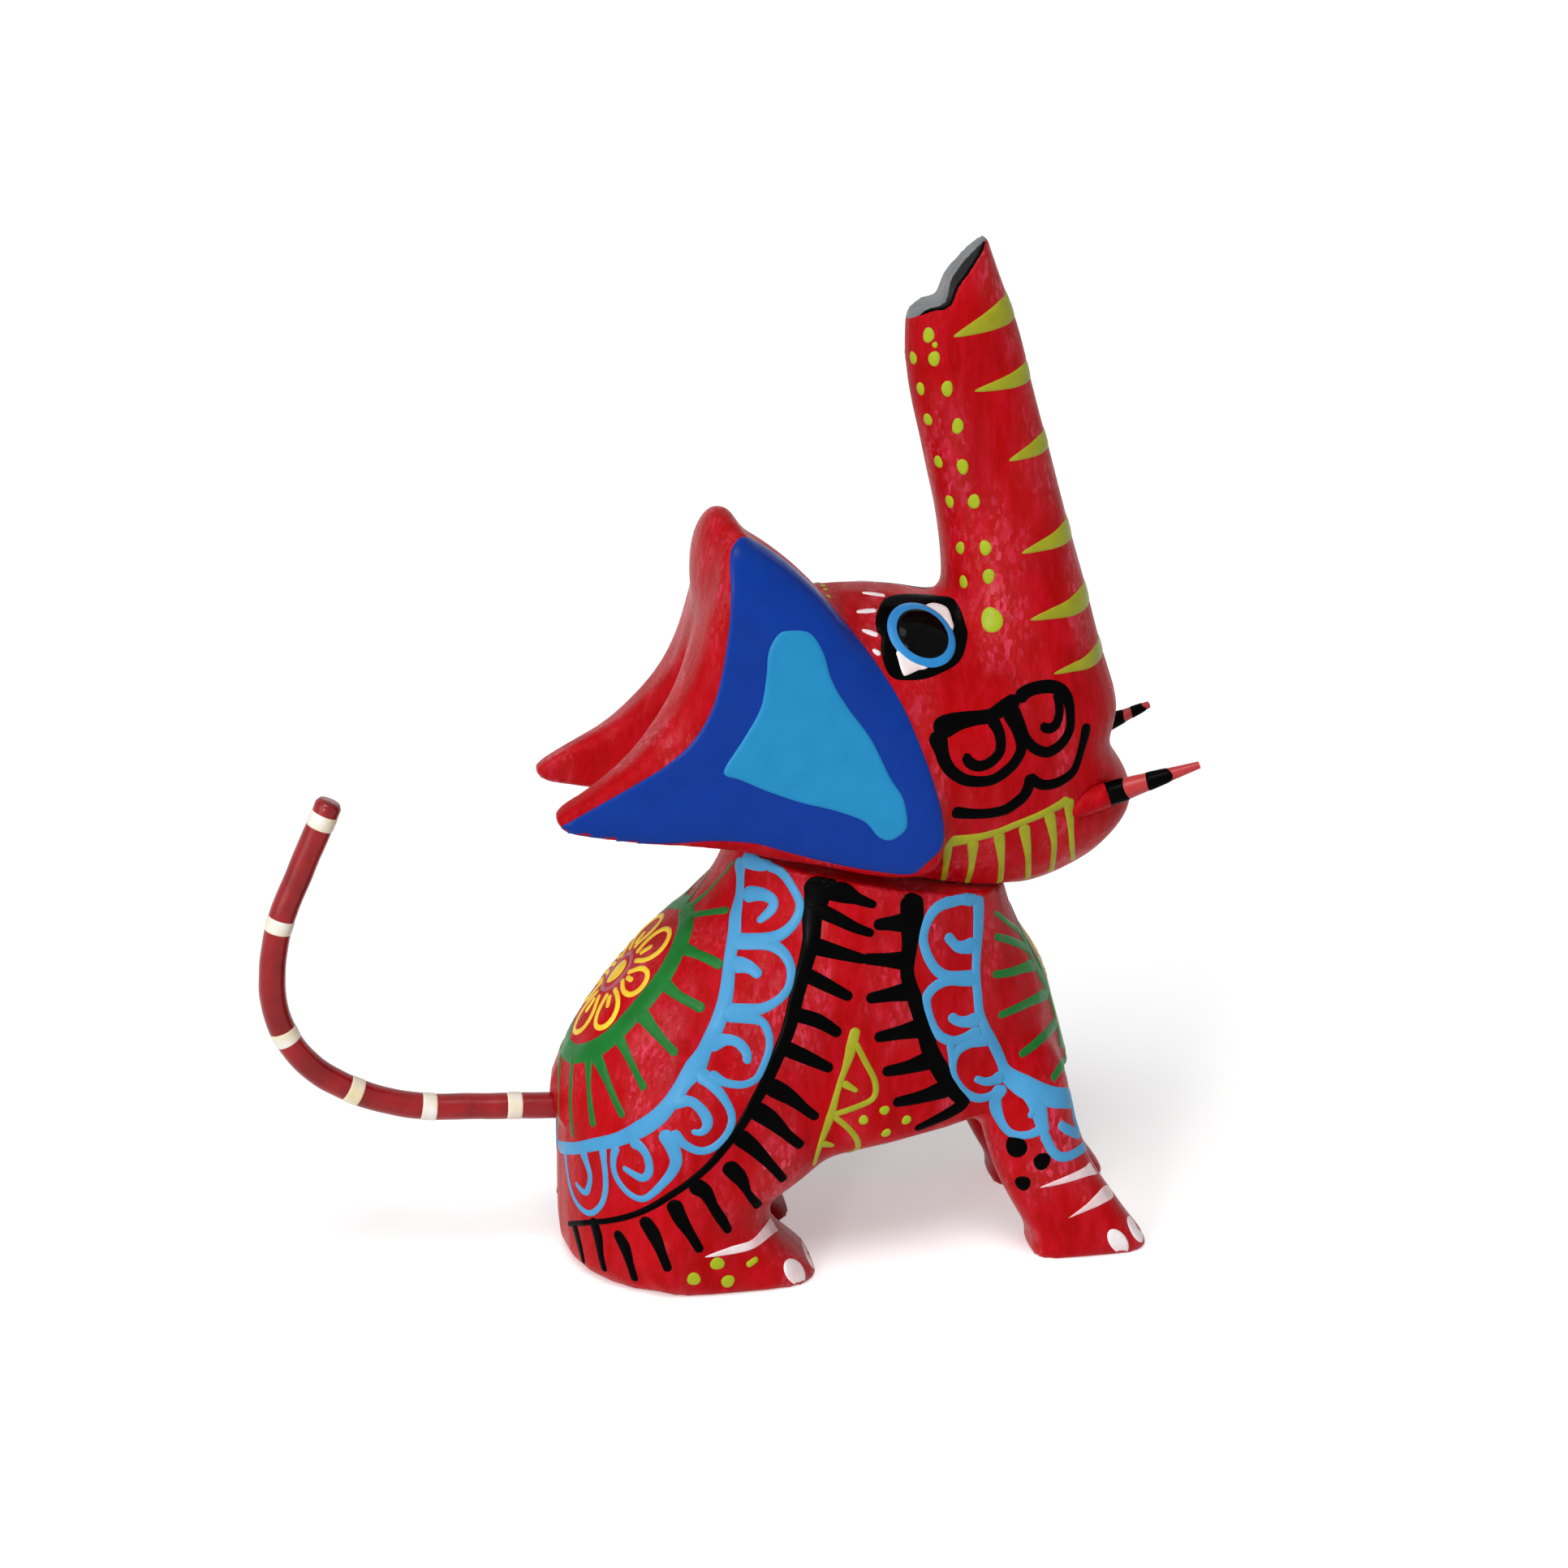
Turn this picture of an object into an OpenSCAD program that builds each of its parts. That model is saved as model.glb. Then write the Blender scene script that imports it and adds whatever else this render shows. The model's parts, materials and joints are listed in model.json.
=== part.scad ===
// Carved wooden elephant, sitting, with its trunk raised.
// Two carved blocks, a neck peg, two tusks and a bent tail. Millimetres.
// +X is the way the elephant faces, +Z is up, and the soles stand on z = 0.

/* [Body] */
// Length of the torso from rump to chest
body_l = 51; // [47:0.5:55]
// Width of the torso at its widest
body_w = 26.5; // [25:0.5:29]
// Height of the belly above the ground
belly_h = 12.8; // [11:0.2:14]
// Height of the neck seat above the ground, at the peg
seat_h = 39.5; // [36:0.5:44]
// Slope of the neck seat, downwards to the front
seat_tilt = 12; // [6:1:16]
// Distance of the neck peg ahead of the middle of the torso
neck_x = 5; // [3:0.5:7]
// Length of the neck seat
neck_l = 27; // [23:0.5:29]
// Width of the neck seat
neck_w = 20; // [17:0.5:22]

/* [Hind legs] */
// Width of one haunch
haunch_w = 14.6; // [13.6:0.2:16]
// Length of a haunch at its fullest
haunch_l = 28.6; // [25:0.2:31]
// Height of a haunch
haunch_h = 30; // [27:0.5:32]
// Length of a hind sole
hind_foot_l = 24.4; // [21:0.2:25.4]

/* [Front legs] */
// Clear space between the front feet
front_gap = 9; // [7:0.5:10]
// Length of a front foot
front_foot_l = 11.9; // [10:0.1:12.5]
// Width of a front foot
front_foot_w = 7.8; // [7:0.2:8.6]
// How far a front foot reaches ahead of the chest
front_reach = 6; // [4:0.5:8]
// Height at which a front leg leaves the shoulder
shoulder_h = 24; // [21:0.5:27]

/* [Head] */
// Distance of the chin behind the front toes
chin_back = 0.9; // [-1.1:0.1:2.5]
// Reach of the skull behind the neck peg
skull_back = 12; // [10:0.5:14]
// Height of the crown above the neck seat
crown_h = 27.1; // [25:0.1:31]
// Width of the skull
head_w = 20.4; // [18.5:0.2:22]

/* [Trunk] */
// Height of the trunk's tip above the neck seat
trunk_h = 60.5; // [55:0.5:66]
// Depth of the trunk at its root
trunk_root = 18; // [15:0.2:19]
// Depth of the trunk near its tip
trunk_tip = 10.6; // [9:0.2:11.4]
// Width of the trunk near its tip
trunk_tip_w = 7; // [6:0.2:8.5]
// Distance that the trunk's front leans back over its height
trunk_back = 12.8; // [11:0.2:15]
// Depth of the notch between the two lips of the trunk
lip_notch = 6.5; // [4.5:0.5:8]

/* [Ears] */
// Reach of the ear tips behind the rump
ear_over = 0.5; // [-0.5:0.5:2.5]
// Height of the right ear above the neck seat
right_ear_h = 33.8; // [32:0.2:37]
// Height of the left ear above the neck seat
left_ear_h = 31.6; // [30:0.2:36]
// Height of the rounded crest that joins the ears, above the neck seat
crest_h = 35.6; // [34:0.2:38]
// Distance between the outer faces of the ears at the cheeks
ear_span = 22.4; // [21:0.2:24]
// Distance between the outer faces of the ears at their tips
ear_tip_span = 17; // [15.5:0.5:18.5]
// Thickness of an ear at its tip
ear_tip_t = 3.2; // [2.6:0.2:4]

/* [Tusks] */
// Diameter of a tusk
tusk_d = 2.2; // [1.8:0.1:2.6]
// Diameter of a tusk's point
tusk_point_d = 0.7; // [0.4:0.1:1]
// Length of a tusk outside the cheek
tusk_out = 9; // [7:0.5:11]
// Length of a tusk glued into the cheek
tusk_in = 5; // [4:0.5:6]
// Distance between the tusks where they leave the cheeks
tusk_span = 15.6; // [14:0.2:16.4]
// Upward slope of the tusks
tusk_rise = 18; // [10:1:24]
// Outward slope of the tusks
tusk_splay = 8; // [2:1:10]

/* [Tail] */
// Diameter of the tail rod
tail_d = 2.7; // [2.2:0.1:3.4]
// Height of the tail hole above the ground
tail_h = 15.4; // [13.5:0.2:18]
// Upward slope of the tail where it leaves the rump
tail_pitch = 4; // [0:1:8]
// Length of the tail inside the rump
tail_plug = 7; // [5:0.5:9]
// Straight length of the tail behind the rump
tail_run = 10.9; // [8:0.1:14]
// Radius of the first, open bend
tail_sweep_r = 22; // [18:1:26]
// Angle of the first bend
tail_sweep = 30; // [20:1:40]
// Radius of the second bend, which turns the tail upright
tail_elbow_r = 12; // [10:0.5:14]
// Radius of the last bend, towards the body
tail_hook_r = 22; // [18:1:28]
// Angle of the last bend
tail_hook = 24; // [14:1:28]
// Straight length of the tail's end
tail_end = 10.5; // [7:0.5:13]

/* [Fits] */
// Diameter of the neck peg
peg_d = 5; // [4:0.5:6]
// Length of the neck peg in the body
peg_in_body = 9; // [7:0.5:11]
// Length of the neck peg in the head
peg_in_head = 8; // [6:0.5:10]
// Radial clearance of a peg that turns in its hole
turn_gap = 0.05; // [0.02:0.01:0.1]
// Gap between the head and the neck seat
seat_gap = 0.25; // [0.2:0.05:0.3]
// Space left behind the end of a peg in its hole
end_gap = 0.3; // [0.2:0.1:0.5]

/* [Hidden] */
$fn = 64;

// Points round a ring, and rings between two stations of a loft.
ring_n = 26;
station_n = 3;
// Squareness of a section: 2 is an ellipse, more is boxier.
round_form = 2.2;
foot_form = 3.8;
slab_form = 4.5;
// A size larger than the whole figure, for cutting tools.
beyond = 200;

red = [0.72, 0.05, 0.06];
copal = [0.82, 0.68, 0.46];
tusk_red = [0.80, 0.22, 0.20];
tail_red = [0.50, 0.05, 0.06];

rump_x = -body_l / 2;
chest_x = body_l / 2;
haunch_y = body_w / 2 - haunch_w * 0.44;
front_leg_y = (front_gap + front_foot_w) / 2;
front_foot_x = chest_x + front_reach - front_foot_l / 2;

// Reach of the chin ahead of the neck peg, and of the ear tips behind it.
chin_reach = chest_x + front_reach - chin_back - neck_x;
ear_reach = neck_x - rump_x + ear_over;

// The tail's headings, as angles from upright, where it leaves the rump and after each bend.
tail_start = tail_pitch - 90;
tail_mid = tail_start + tail_sweep;
// The bent part is a hair thinner than the straight rod that it grows from.
bend_d = tail_d - 0.04;
bend_n = 8;

// The front of the trunk at its root, from the neck peg.
trunk_front = chin_reach - 1.2;

// The tusk's root on the cheek, from the neck peg.
tusk_x = chin_reach - 3.6;
tusk_z = 7.2;
tusk_reach = tusk_out * cos(tusk_rise) * cos(tusk_splay);

// The figure's reach to each end, and the shift that centres it over the origin.
tail_back = rump_x - tail_run * cos(tail_pitch)
    + tail_sweep_r * (cos(tail_start) - cos(tail_mid))
    + tail_elbow_r * (cos(tail_mid) - 1) - tail_d / 2;
tusk_front = neck_x + tusk_x + tusk_reach + tusk_point_d / 2 * sin(tusk_rise);
centre_x = -(tail_back + tusk_front) / 2;

function mix(a, b, t) = a + (b - a) * t;

// A Catmull-Rom curve through four values, at t between the middle two.
function curve(a, b, c, d, t) =
    b + (c - a) * t / 2
    + (2 * a - 5 * b + 4 * c - d) * t * t / 2
    + (3 * (b - c) + d - a) * t * t * t / 2;

// Stations of a loft, with station_n steps of a smooth curve between each two.
function smooth(stations) =
    let (last = len(stations) - 1)
    [for (i = [0 : last - 1], k = [0 : station_n - 1])
        curve(stations[max(i - 1, 0)], stations[i], stations[i + 1],
              stations[min(i + 2, last)], k / station_n),
     stations[last]];

// A unit ring as [cosine, sine] pairs, squared off by the form number.
function unit_ring(form) = [
    for (i = [0 : ring_n - 1])
        let (c = cos(360 * i / ring_n), s = sin(360 * i / ring_n))
        [sign(c) * pow(abs(c), 2 / form), sign(s) * pow(abs(s), 2 / form)]];

// A lying ring at height z, between two x and two y values.
function lying_ring(z, x0, x1, y0, y1, form) = [
    for (p = unit_ring(form))
        [(x0 + x1 + p.x * (x1 - x0)) / 2, (y0 + y1 + p.y * (y1 - y0)) / 2, z]];

// A lying ring at height z that is widest at its own middle, with half width b.
function egg_ring(z, rear, middle, front, b, form) = [
    for (p = unit_ring(form))
        [middle + p.x * (p.x < 0 ? middle - rear : front - middle), b * p.y, z]];

// A standing ring at x, between two y and two z values.
function standing_ring(x, y0, y1, z0, z1, form) = [
    for (p = unit_ring(form))
        [x, (y0 + y1 + p.x * (y1 - y0)) / 2, (z0 + z1 + p.y * (z1 - z0)) / 2]];

// A lying ring turned about its cross axis, of half length a and half width b.
function tilted_ring(x, z, a, b, tilt, form) = [
    for (p = unit_ring(form))
        [x + a * p.x * cos(tilt), b * p.y, z + a * p.x * sin(tilt)]];

// A closed skin over rings of ring_n points each.
module skin(rings) {
    count = len(rings);
    sides = [
        for (r = [0 : count - 2], i = [0 : ring_n - 1])
            let (a = r * ring_n + i, b = r * ring_n + (i + 1) % ring_n)
            each [[a, a + ring_n, b], [b, a + ring_n, b + ring_n]]];
    first = [for (i = [0 : ring_n - 1]) i];
    last = [for (i = [ring_n - 1 : -1 : 0]) (count - 1) * ring_n + i];
    polyhedron(points = [for (ring = rings) each ring], faces = concat([first], sides, [last]));
}

// One skin over lofts that run into each other, at the size they have.
module weld() {
    resize([0, 0, 0]) union() children();
}

module mirrored() {
    children();
    mirror([0, 1, 0]) children();
}

// Puts children on the neck seat, with +Z along the peg.
module on_seat() {
    translate([neck_x, 0, seat_h]) rotate([0, seat_tilt, 0]) children();
}

// The torso: a bell that leans back from the neck and swells to the rump.
module torso() {
    full_z = belly_h + 4;
    function rise(t) = mix(full_z, seat_h, t);
    // centre x, centre z, half length, half width, tilt
    stations = [
        [neck_x - 2, belly_h - 0.8, body_l * 0.33, body_w * 0.30, 11],
        [neck_x - 3.1, belly_h + 0.8, body_l * 0.457, body_w * 0.45, 8],
        [-0.6, full_z, body_l * 0.505, body_w * 0.50, 3],
        [0.4, rise(0.28), body_l * 0.464, body_w * 0.49, -2],
        [neck_x * 0.55, rise(0.57), mix(body_l, neck_l, 0.47) / 2, mix(body_w, neck_w, 0.4) / 2,
         -seat_tilt * 0.5],
        [neck_x * 0.95, rise(0.82), neck_l / 2 + 1.5, neck_w / 2 + 0.8, -seat_tilt * 0.8],
        [neck_x, seat_h + 3, neck_l / 2 - 0.5, neck_w / 2 - 0.2, -seat_tilt]];
    skin([for (s = smooth(stations)) tilted_ring(s[0], s[1], s[2], s[3], s[4], round_form)]);
}

// The round seat of the rump, one block from side to side.
module rump() {
    middle = rump_x + body_l * 0.255;
    front = middle + 4;
    // height, rear x, half width
    stations = [
        [0, rump_x + 1.5, haunch_y + haunch_w * 0.37],
        [haunch_h * 0.02, rump_x + 0.6, haunch_y + haunch_w * 0.42],
        [haunch_h * 0.06, rump_x + 0.1, haunch_y + haunch_w * 0.45],
        [haunch_h * 0.16, rump_x, haunch_y + haunch_w * 0.465],
        [haunch_h * 0.33, rump_x, haunch_y + haunch_w * 0.45],
        [haunch_h * 0.52, rump_x + 0.4, haunch_y + haunch_w * 0.37],
        [haunch_h * 0.70, rump_x + 2.4, haunch_y + haunch_w * 0.18]];
    skin([for (s = smooth(stations)) egg_ring(s[0], s[1], middle, front, s[2], round_form)]);
}

// One thigh with its folded hind leg, foot forward, on the right side.
module haunch() {
    rear = rump_x + 5;
    toe = rump_x + hind_foot_l;
    knee = rump_x + haunch_l;
    ankle = mix(rump_x, toe, 0.8);
    // height, rear x, front x, half width, side shift towards the middle, squareness
    stations = [
        [0, rear + 2.6, toe - 0.7, haunch_w * 0.42, 0, foot_form],
        [haunch_h * 0.02, rear + 1.6, toe - 0.5, haunch_w * 0.45, -0.1, foot_form],
        [haunch_h * 0.06, rear + 0.8, toe - 1.7, haunch_w * 0.46, -0.25, foot_form],
        [haunch_h * 0.14, rear, toe - 3.9, haunch_w * 0.47, -0.2, mix(round_form, foot_form, 0.5)],
        [haunch_h * 0.25, rear, ankle, haunch_w * 0.49, 0.1, round_form],
        [haunch_h * 0.35, rear, mix(ankle, knee, 0.45), haunch_w * 0.49, 0, round_form],
        [haunch_h * 0.50, rear - 0.8, knee, haunch_w * 0.50, 0, round_form],
        [haunch_h * 0.67, rear, knee + 0.8, haunch_w * 0.48, 0, round_form],
        [haunch_h * 0.84, rear + 2.6, knee - 1, haunch_w * 0.41, 1, round_form],
        [haunch_h, rear + 8, knee - 6, haunch_w * 0.24, 3.4, round_form]];
    skin([for (s = smooth(stations))
        lying_ring(s[0], s[1], s[2], s[4] - haunch_y - s[3], s[4] - haunch_y + s[3], s[5])]);
}

// One front leg, from the shoulder to a foot set forward, on the right side.
module front_leg() {
    foot = front_foot_l / 2;
    half = front_foot_w / 2;
    // height, centre x, half depth, half width, side shift towards the middle, squareness
    stations = [
        [0, front_foot_x, foot - 0.3, half - 0.5, 0, foot_form],
        [0.6, front_foot_x, foot, half - 0.1, 0, foot_form],
        [2, front_foot_x - 0.5, foot - 0.5, half, 0, foot_form],
        [shoulder_h * 0.21, front_foot_x - 2.3, foot - 0.7, half, 0, mix(round_form, foot_form, 0.5)],
        [shoulder_h * 0.38, front_foot_x - 4.5, foot - 1, half, 0, round_form],
        [shoulder_h * 0.60, front_foot_x - 6.1, foot - 1.2, half + 0.1, 0.5, round_form],
        [shoulder_h * 0.80, front_foot_x - 7, foot - 1.2, half, 1.8, round_form],
        [shoulder_h, front_foot_x - 8.2, foot - 2.6, half - 0.8, 4, round_form]];
    skin([for (s = smooth(stations))
        lying_ring(s[0], s[1] - s[2], s[1] + s[2],
                   s[4] - front_leg_y - s[3], s[4] - front_leg_y + s[3], s[5])]);
}

// The carved body, cut flat at the neck and drilled for the peg and the tail.
module body() {
    color(red) translate([centre_x, 0, 0]) difference() {
        weld() {
            torso();
            rump();
            mirrored() haunch();
            mirrored() front_leg();
        }
        on_seat() translate([-beyond / 2, -beyond / 2, 0]) cube(beyond);
        on_seat() translate([0, 0, -peg_in_body - end_gap])
            cylinder(d = peg_d, h = peg_in_body + end_gap + 1);
        at_rump() translate([0, 0, -tail_plug - end_gap])
            cylinder(d = tail_d + 2 * turn_gap, h = 2 * tail_plug);
    }
}

// The skull from the back of the head to the chin, in the head's own place over the seat.
module skull() {
    half = head_w / 2;
    // x, lower z, upper z, half width
    stations = [
        [-skull_back, 2, crown_h - 2.3, half * 0.78],
        [-skull_back * 0.67, -0.5, crown_h - 0.6, half * 0.93],
        [-skull_back * 0.25, -2, crown_h, half * 0.98],
        [chin_reach * 0.08, -3, crown_h - 0.4, half],
        [chin_reach * 0.27, -4, crown_h - 1.4, half],
        [chin_reach * 0.47, -4, crown_h * 0.90, half * 0.98],
        [chin_reach * 0.66, -3.1, crown_h * 0.71, half * 0.90],
        [chin_reach * 0.82, -1.2, crown_h * 0.52, half * 0.77],
        [chin_reach * 0.92, 1.1, crown_h * 0.38, half * 0.62],
        [chin_reach * 0.98, 3.1, crown_h * 0.29, half * 0.42],
        [chin_reach, 4.7, crown_h * 0.235, half * 0.2]];
    skin([for (s = smooth(stations)) standing_ring(s[0], -s[3], s[3], s[1], s[2], round_form)]);
}

// The raised trunk, which leans back and narrows to a flattened tip.
module trunk() {
    root_z = crown_h * 0.52;
    lean = 0.9;
    function level(t) = mix(root_z, trunk_h, t);
    function front(t) = trunk_front - trunk_back * t;
    // height, front x, depth, half width
    stations = [
        [root_z - 4.5, trunk_front - 1.4, trunk_root - 1, head_w * 0.43],
        [root_z, trunk_front, trunk_root, head_w * 0.41],
        [level(0.13), front(0.13), trunk_root * 0.90, head_w * 0.35],
        [level(0.26), front(0.26), trunk_root * 0.77, head_w * 0.295],
        [level(0.39), front(0.39), trunk_root * 0.705, mix(head_w * 0.25, trunk_tip_w / 2, 0.2)],
        [level(0.54), front(0.54), mix(trunk_root * 0.7, trunk_tip, 0.2),
         mix(head_w * 0.22, trunk_tip_w / 2, 0.4)],
        [level(0.70), front(0.70), trunk_tip * 1.11, mix(head_w * 0.2, trunk_tip_w / 2, 0.7)],
        [level(0.81), front(0.81), trunk_tip, trunk_tip_w / 2],
        [level(0.90), front(0.90) - lean * 0.45, trunk_tip * 0.81, trunk_tip_w * 0.45],
        [trunk_h + 1, front(1.02) - lean, trunk_tip * 0.60, trunk_tip_w * 0.38]];
    skin([for (s = smooth(stations)) lying_ring(s[0], s[1] - s[2], s[1], -s[3], s[3], round_form)]);
}

// The waste above the trunk's lips: a long pointed front lip and a short rear one.
module lip_waste() {
    tip_x = trunk_front - trunk_back;
    notch_x = tip_x - trunk_tip * 0.44;
    notch_z = trunk_h - lip_notch;
    clear = 5;
    rotate([90, 0, 0]) translate([0, 0, -beyond / 2]) linear_extrude(beyond)
        polygon([[tip_x - 0.3, trunk_h], [notch_x + 0.7, notch_z + lip_notch * 0.3], [notch_x, notch_z],
                 [notch_x - trunk_tip * 0.15, notch_z - 0.2], [notch_x - trunk_tip * 0.27, notch_z - 0.8],
                 [notch_x - trunk_tip * 0.42, notch_z - 2.2], [notch_x - trunk_tip, trunk_h + clear],
                 [tip_x + clear, trunk_h + clear]]);
}

// One ear of the given height, a blade that thickens from its tip to the cheek, on the right side.
module ear(ear_h) {
    lean = 0.1;
    roof = 0.1;
    tip = ear_tip_span / 2;
    cheek = ear_span / 2;
    foot_z = 1.2;
    tip_z = 8;
    function up(t) = mix(tip_z, ear_h, t);
    function out(t) = mix(tip, cheek, t);
    // x, lower z, upper z, outer half span, thickness
    stations = [
        [-ear_reach, tip_z - 0.4, tip_z + 0.4, tip - 0.8, ear_tip_t * 0.5],
        [-ear_reach + 1, tip_z - 1.2, tip_z + 1.1, tip - 0.2, ear_tip_t * 0.9],
        [-ear_reach * 0.89, tip_z - 1.8, tip_z + 2.5, tip, ear_tip_t],
        [-ear_reach * 0.76, tip_z - 2.6, up(0.21), tip + 0.4, ear_tip_t * 1.4],
        [-ear_reach * 0.63, tip_z - 3.2, up(0.39), out(0.3), ear_tip_t * 2.1],
        [-ear_reach * 0.56, tip_z - 3.6, up(0.565), out(0.42), ear_tip_t * 2.6],
        [-ear_reach * 0.515, tip_z - 3.9, up(0.78), out(0.48), ear_tip_t * 2.8],
        [-ear_reach * 0.48, tip_z - 4.1, up(0.965), out(0.52), ear_tip_t * 2.8],
        [-ear_reach * 0.43, tip_z - 4.4, up(1.0), out(0.57), ear_tip_t * 2.8],
        [-ear_reach * 0.33, tip_z - 5.1, up(0.935), out(0.68), ear_tip_t * 2.7],
        [-ear_reach * 0.2, tip_z - 5.8, up(0.80), out(0.82), ear_tip_t * 2.6],
        [-ear_reach * 0.09, tip_z - 6.5, up(0.63), out(0.92), ear_tip_t * 2.4],
        [0.4, tip_z - 6.9, up(0.45), cheek, ear_tip_t * 2.1],
        [2.8, foot_z, up(0.26), cheek, ear_tip_t * 1.7],
        [4.6, foot_z + 0.9, up(0.08), cheek - 0.1, ear_tip_t * 1.2],
        [5.5, foot_z + 3.2, tip_z - 1.2, cheek - 0.6, ear_tip_t * 0.7]];
    multmatrix([[1, 0, 0, 0], [0, 1, lean, -lean * tip_z], [0, roof, 1, roof * tip]])
        skin([for (s = smooth(stations))
            standing_ring(s[0], -s[3], s[4] - s[3], s[1], s[2], slab_form)]);
}

// The rounded crest across the head that joins the two ears.
module crest() {
    half = ear_tip_span / 2;
    // y, centre x, upper z, half thickness, half height
    stations = [
        [-half * 0.86, -ear_reach * 0.41, right_ear_h - 3, 1.2, 3],
        [-half * 0.62, -ear_reach * 0.425, right_ear_h, 2, 5],
        [-half * 0.3, -ear_reach * 0.45, mix(right_ear_h, crest_h, 0.75), 2.4, 6],
        [0, -ear_reach * 0.46, crest_h, 2.5, 6.5],
        [half * 0.3, -ear_reach * 0.46, mix(left_ear_h, crest_h, 0.75), 2.4, 6],
        [half * 0.62, -ear_reach * 0.455, mix(left_ear_h, crest_h, 0.25), 2, 5],
        [half * 0.86, -ear_reach * 0.45, left_ear_h - 2, 1.2, 3]];
    skin([for (s = smooth(stations)) [
        for (p = unit_ring(round_form)) [s[1] + p.x * s[3], s[0], s[2] - s[4] - p.y * s[4]]]]);
}

// The carved head with its ears and trunk, cut flat to sit on the neck and drilled for peg and tusks.
module head() {
    color(red) translate([centre_x, 0, 0]) difference() {
        translate([neck_x, 0, seat_h]) weld() {
            skull();
            ear(right_ear_h);
            mirror([0, 1, 0]) ear(left_ear_h);
            crest();
            difference() {
                trunk();
                lip_waste();
            }
        }
        on_seat() translate([-beyond / 2, -beyond / 2, seat_gap - beyond]) cube(beyond);
        on_seat() cylinder(d = peg_d + 2 * turn_gap, h = peg_in_head + end_gap);
        mirrored() at_cheek() translate([0, 0, -tusk_in]) cylinder(d = tusk_d, h = 2 * tusk_in);
    }
}

// Puts children at the right tusk's root, with +Z along the tusk.
module at_cheek() {
    translate([neck_x + tusk_x, -tusk_span / 2, seat_h + tusk_z])
        rotate([0, 0, -tusk_splay]) rotate([0, 90 - tusk_rise, 0]) children();
}

// A tusk: a glued shank and a long taper to a blunt point.
module tusk() {
    shank = 1.5;
    at_cheek() rotate_extrude() polygon([
        [0, -tusk_in], [tusk_d / 2, -tusk_in], [tusk_d / 2, shank],
        [tusk_point_d / 2, tusk_out], [0, tusk_out]]);
}

module tusk_right() {
    color(tusk_red) translate([centre_x, 0, 0]) tusk();
}

module tusk_left() {
    color(tusk_red) translate([centre_x, 0, 0]) mirror([0, 1, 0]) tusk();
}

// The turned peg that carries the head, with its ends broken.
module neck_peg() {
    edge = peg_d * 0.1;
    half = peg_d / 2;
    color(copal) translate([centre_x, 0, 0]) on_seat() rotate_extrude() polygon([
        [0, -peg_in_body], [half - edge, -peg_in_body], [half, edge - peg_in_body],
        [half, peg_in_head - edge], [half - edge, peg_in_head], [0, peg_in_head]]);
}

// Puts children at the tail hole, with +Z along the tail as it leaves the rump.
module at_rump() {
    translate([rump_x, 0, tail_h]) rotate([0, tail_start, 0]) children();
}

// A ring across the tail, at x and z, for a heading measured from upright.
function rod_ring(x, z, heading) = [
    for (p = unit_ring(2))
        [x + p.x * bend_d / 2 * cos(heading), p.y * bend_d / 2, z - p.x * bend_d / 2 * sin(heading)]];

// Rings along a bend of the tail that starts at x and z and turns between two headings.
function bend_rings(x, z, radius, from, to) = [
    for (k = [0 : bend_n])
        let (heading = mix(from, to, k / bend_n))
        rod_ring(x + radius * (cos(from) - cos(heading)), z + radius * (sin(heading) - sin(from)), heading)];

// The tail: a straight rod plugged into the rump, bent upright, and clipped off level at its end.
module tail() {
    // Where each bend starts, and where the end is clipped.
    run_x = rump_x + tail_run * sin(tail_start);
    run_z = tail_h + tail_run * cos(tail_start);
    elbow_x = run_x + tail_sweep_r * (cos(tail_start) - cos(tail_mid));
    elbow_z = run_z + tail_sweep_r * (sin(tail_mid) - sin(tail_start));
    hook_x = elbow_x + tail_elbow_r * (cos(tail_mid) - 1);
    hook_z = elbow_z - tail_elbow_r * sin(tail_mid);
    end_x = hook_x + tail_hook_r * (1 - cos(tail_hook)) + tail_end * sin(tail_hook);
    end_z = hook_z + tail_hook_r * sin(tail_hook) + tail_end * cos(tail_hook);
    lap = 1;
    color(tail_red) translate([centre_x, 0, 0]) union() {
        at_rump() translate([0, 0, -tail_plug]) cylinder(d = tail_d, h = tail_plug + tail_run);
        skin(concat(
            [rod_ring(run_x - lap * sin(tail_start), run_z - lap * cos(tail_start), tail_start)],
            bend_rings(run_x, run_z, tail_sweep_r, tail_start, tail_mid),
            bend_rings(elbow_x, elbow_z, tail_elbow_r, tail_mid, 0),
            bend_rings(hook_x, hook_z, tail_hook_r, 0, tail_hook),
            [[for (p = unit_ring(2))
                [end_x + p.x * bend_d / 2 / cos(tail_hook), p.y * bend_d / 2, end_z]]]));
    }
}

body();
head();
neck_peg();
tusk_right();
tusk_left();
tail();
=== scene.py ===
"""Looks of a carved wooden elephant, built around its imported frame.

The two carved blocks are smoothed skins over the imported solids, and each painted mark is a thin raised film
that lies on them. Marks are placed by pixels of the photograph, carried onto the wood along the photograph's
own view, and repeated on the far side. Sizes are millimetres, times MM where Blender needs metres.
"""
import json
import logging
import math
import random
from dataclasses import dataclass
from enum import Enum
from typing import Callable, Iterable, Sequence

import bmesh
import bpy
import numpy as np
from mathutils import Matrix, Vector, noise
from mathutils.bvhtree import BVHTree
from mathutils.geometry import delaunay_2d_cdt


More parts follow.
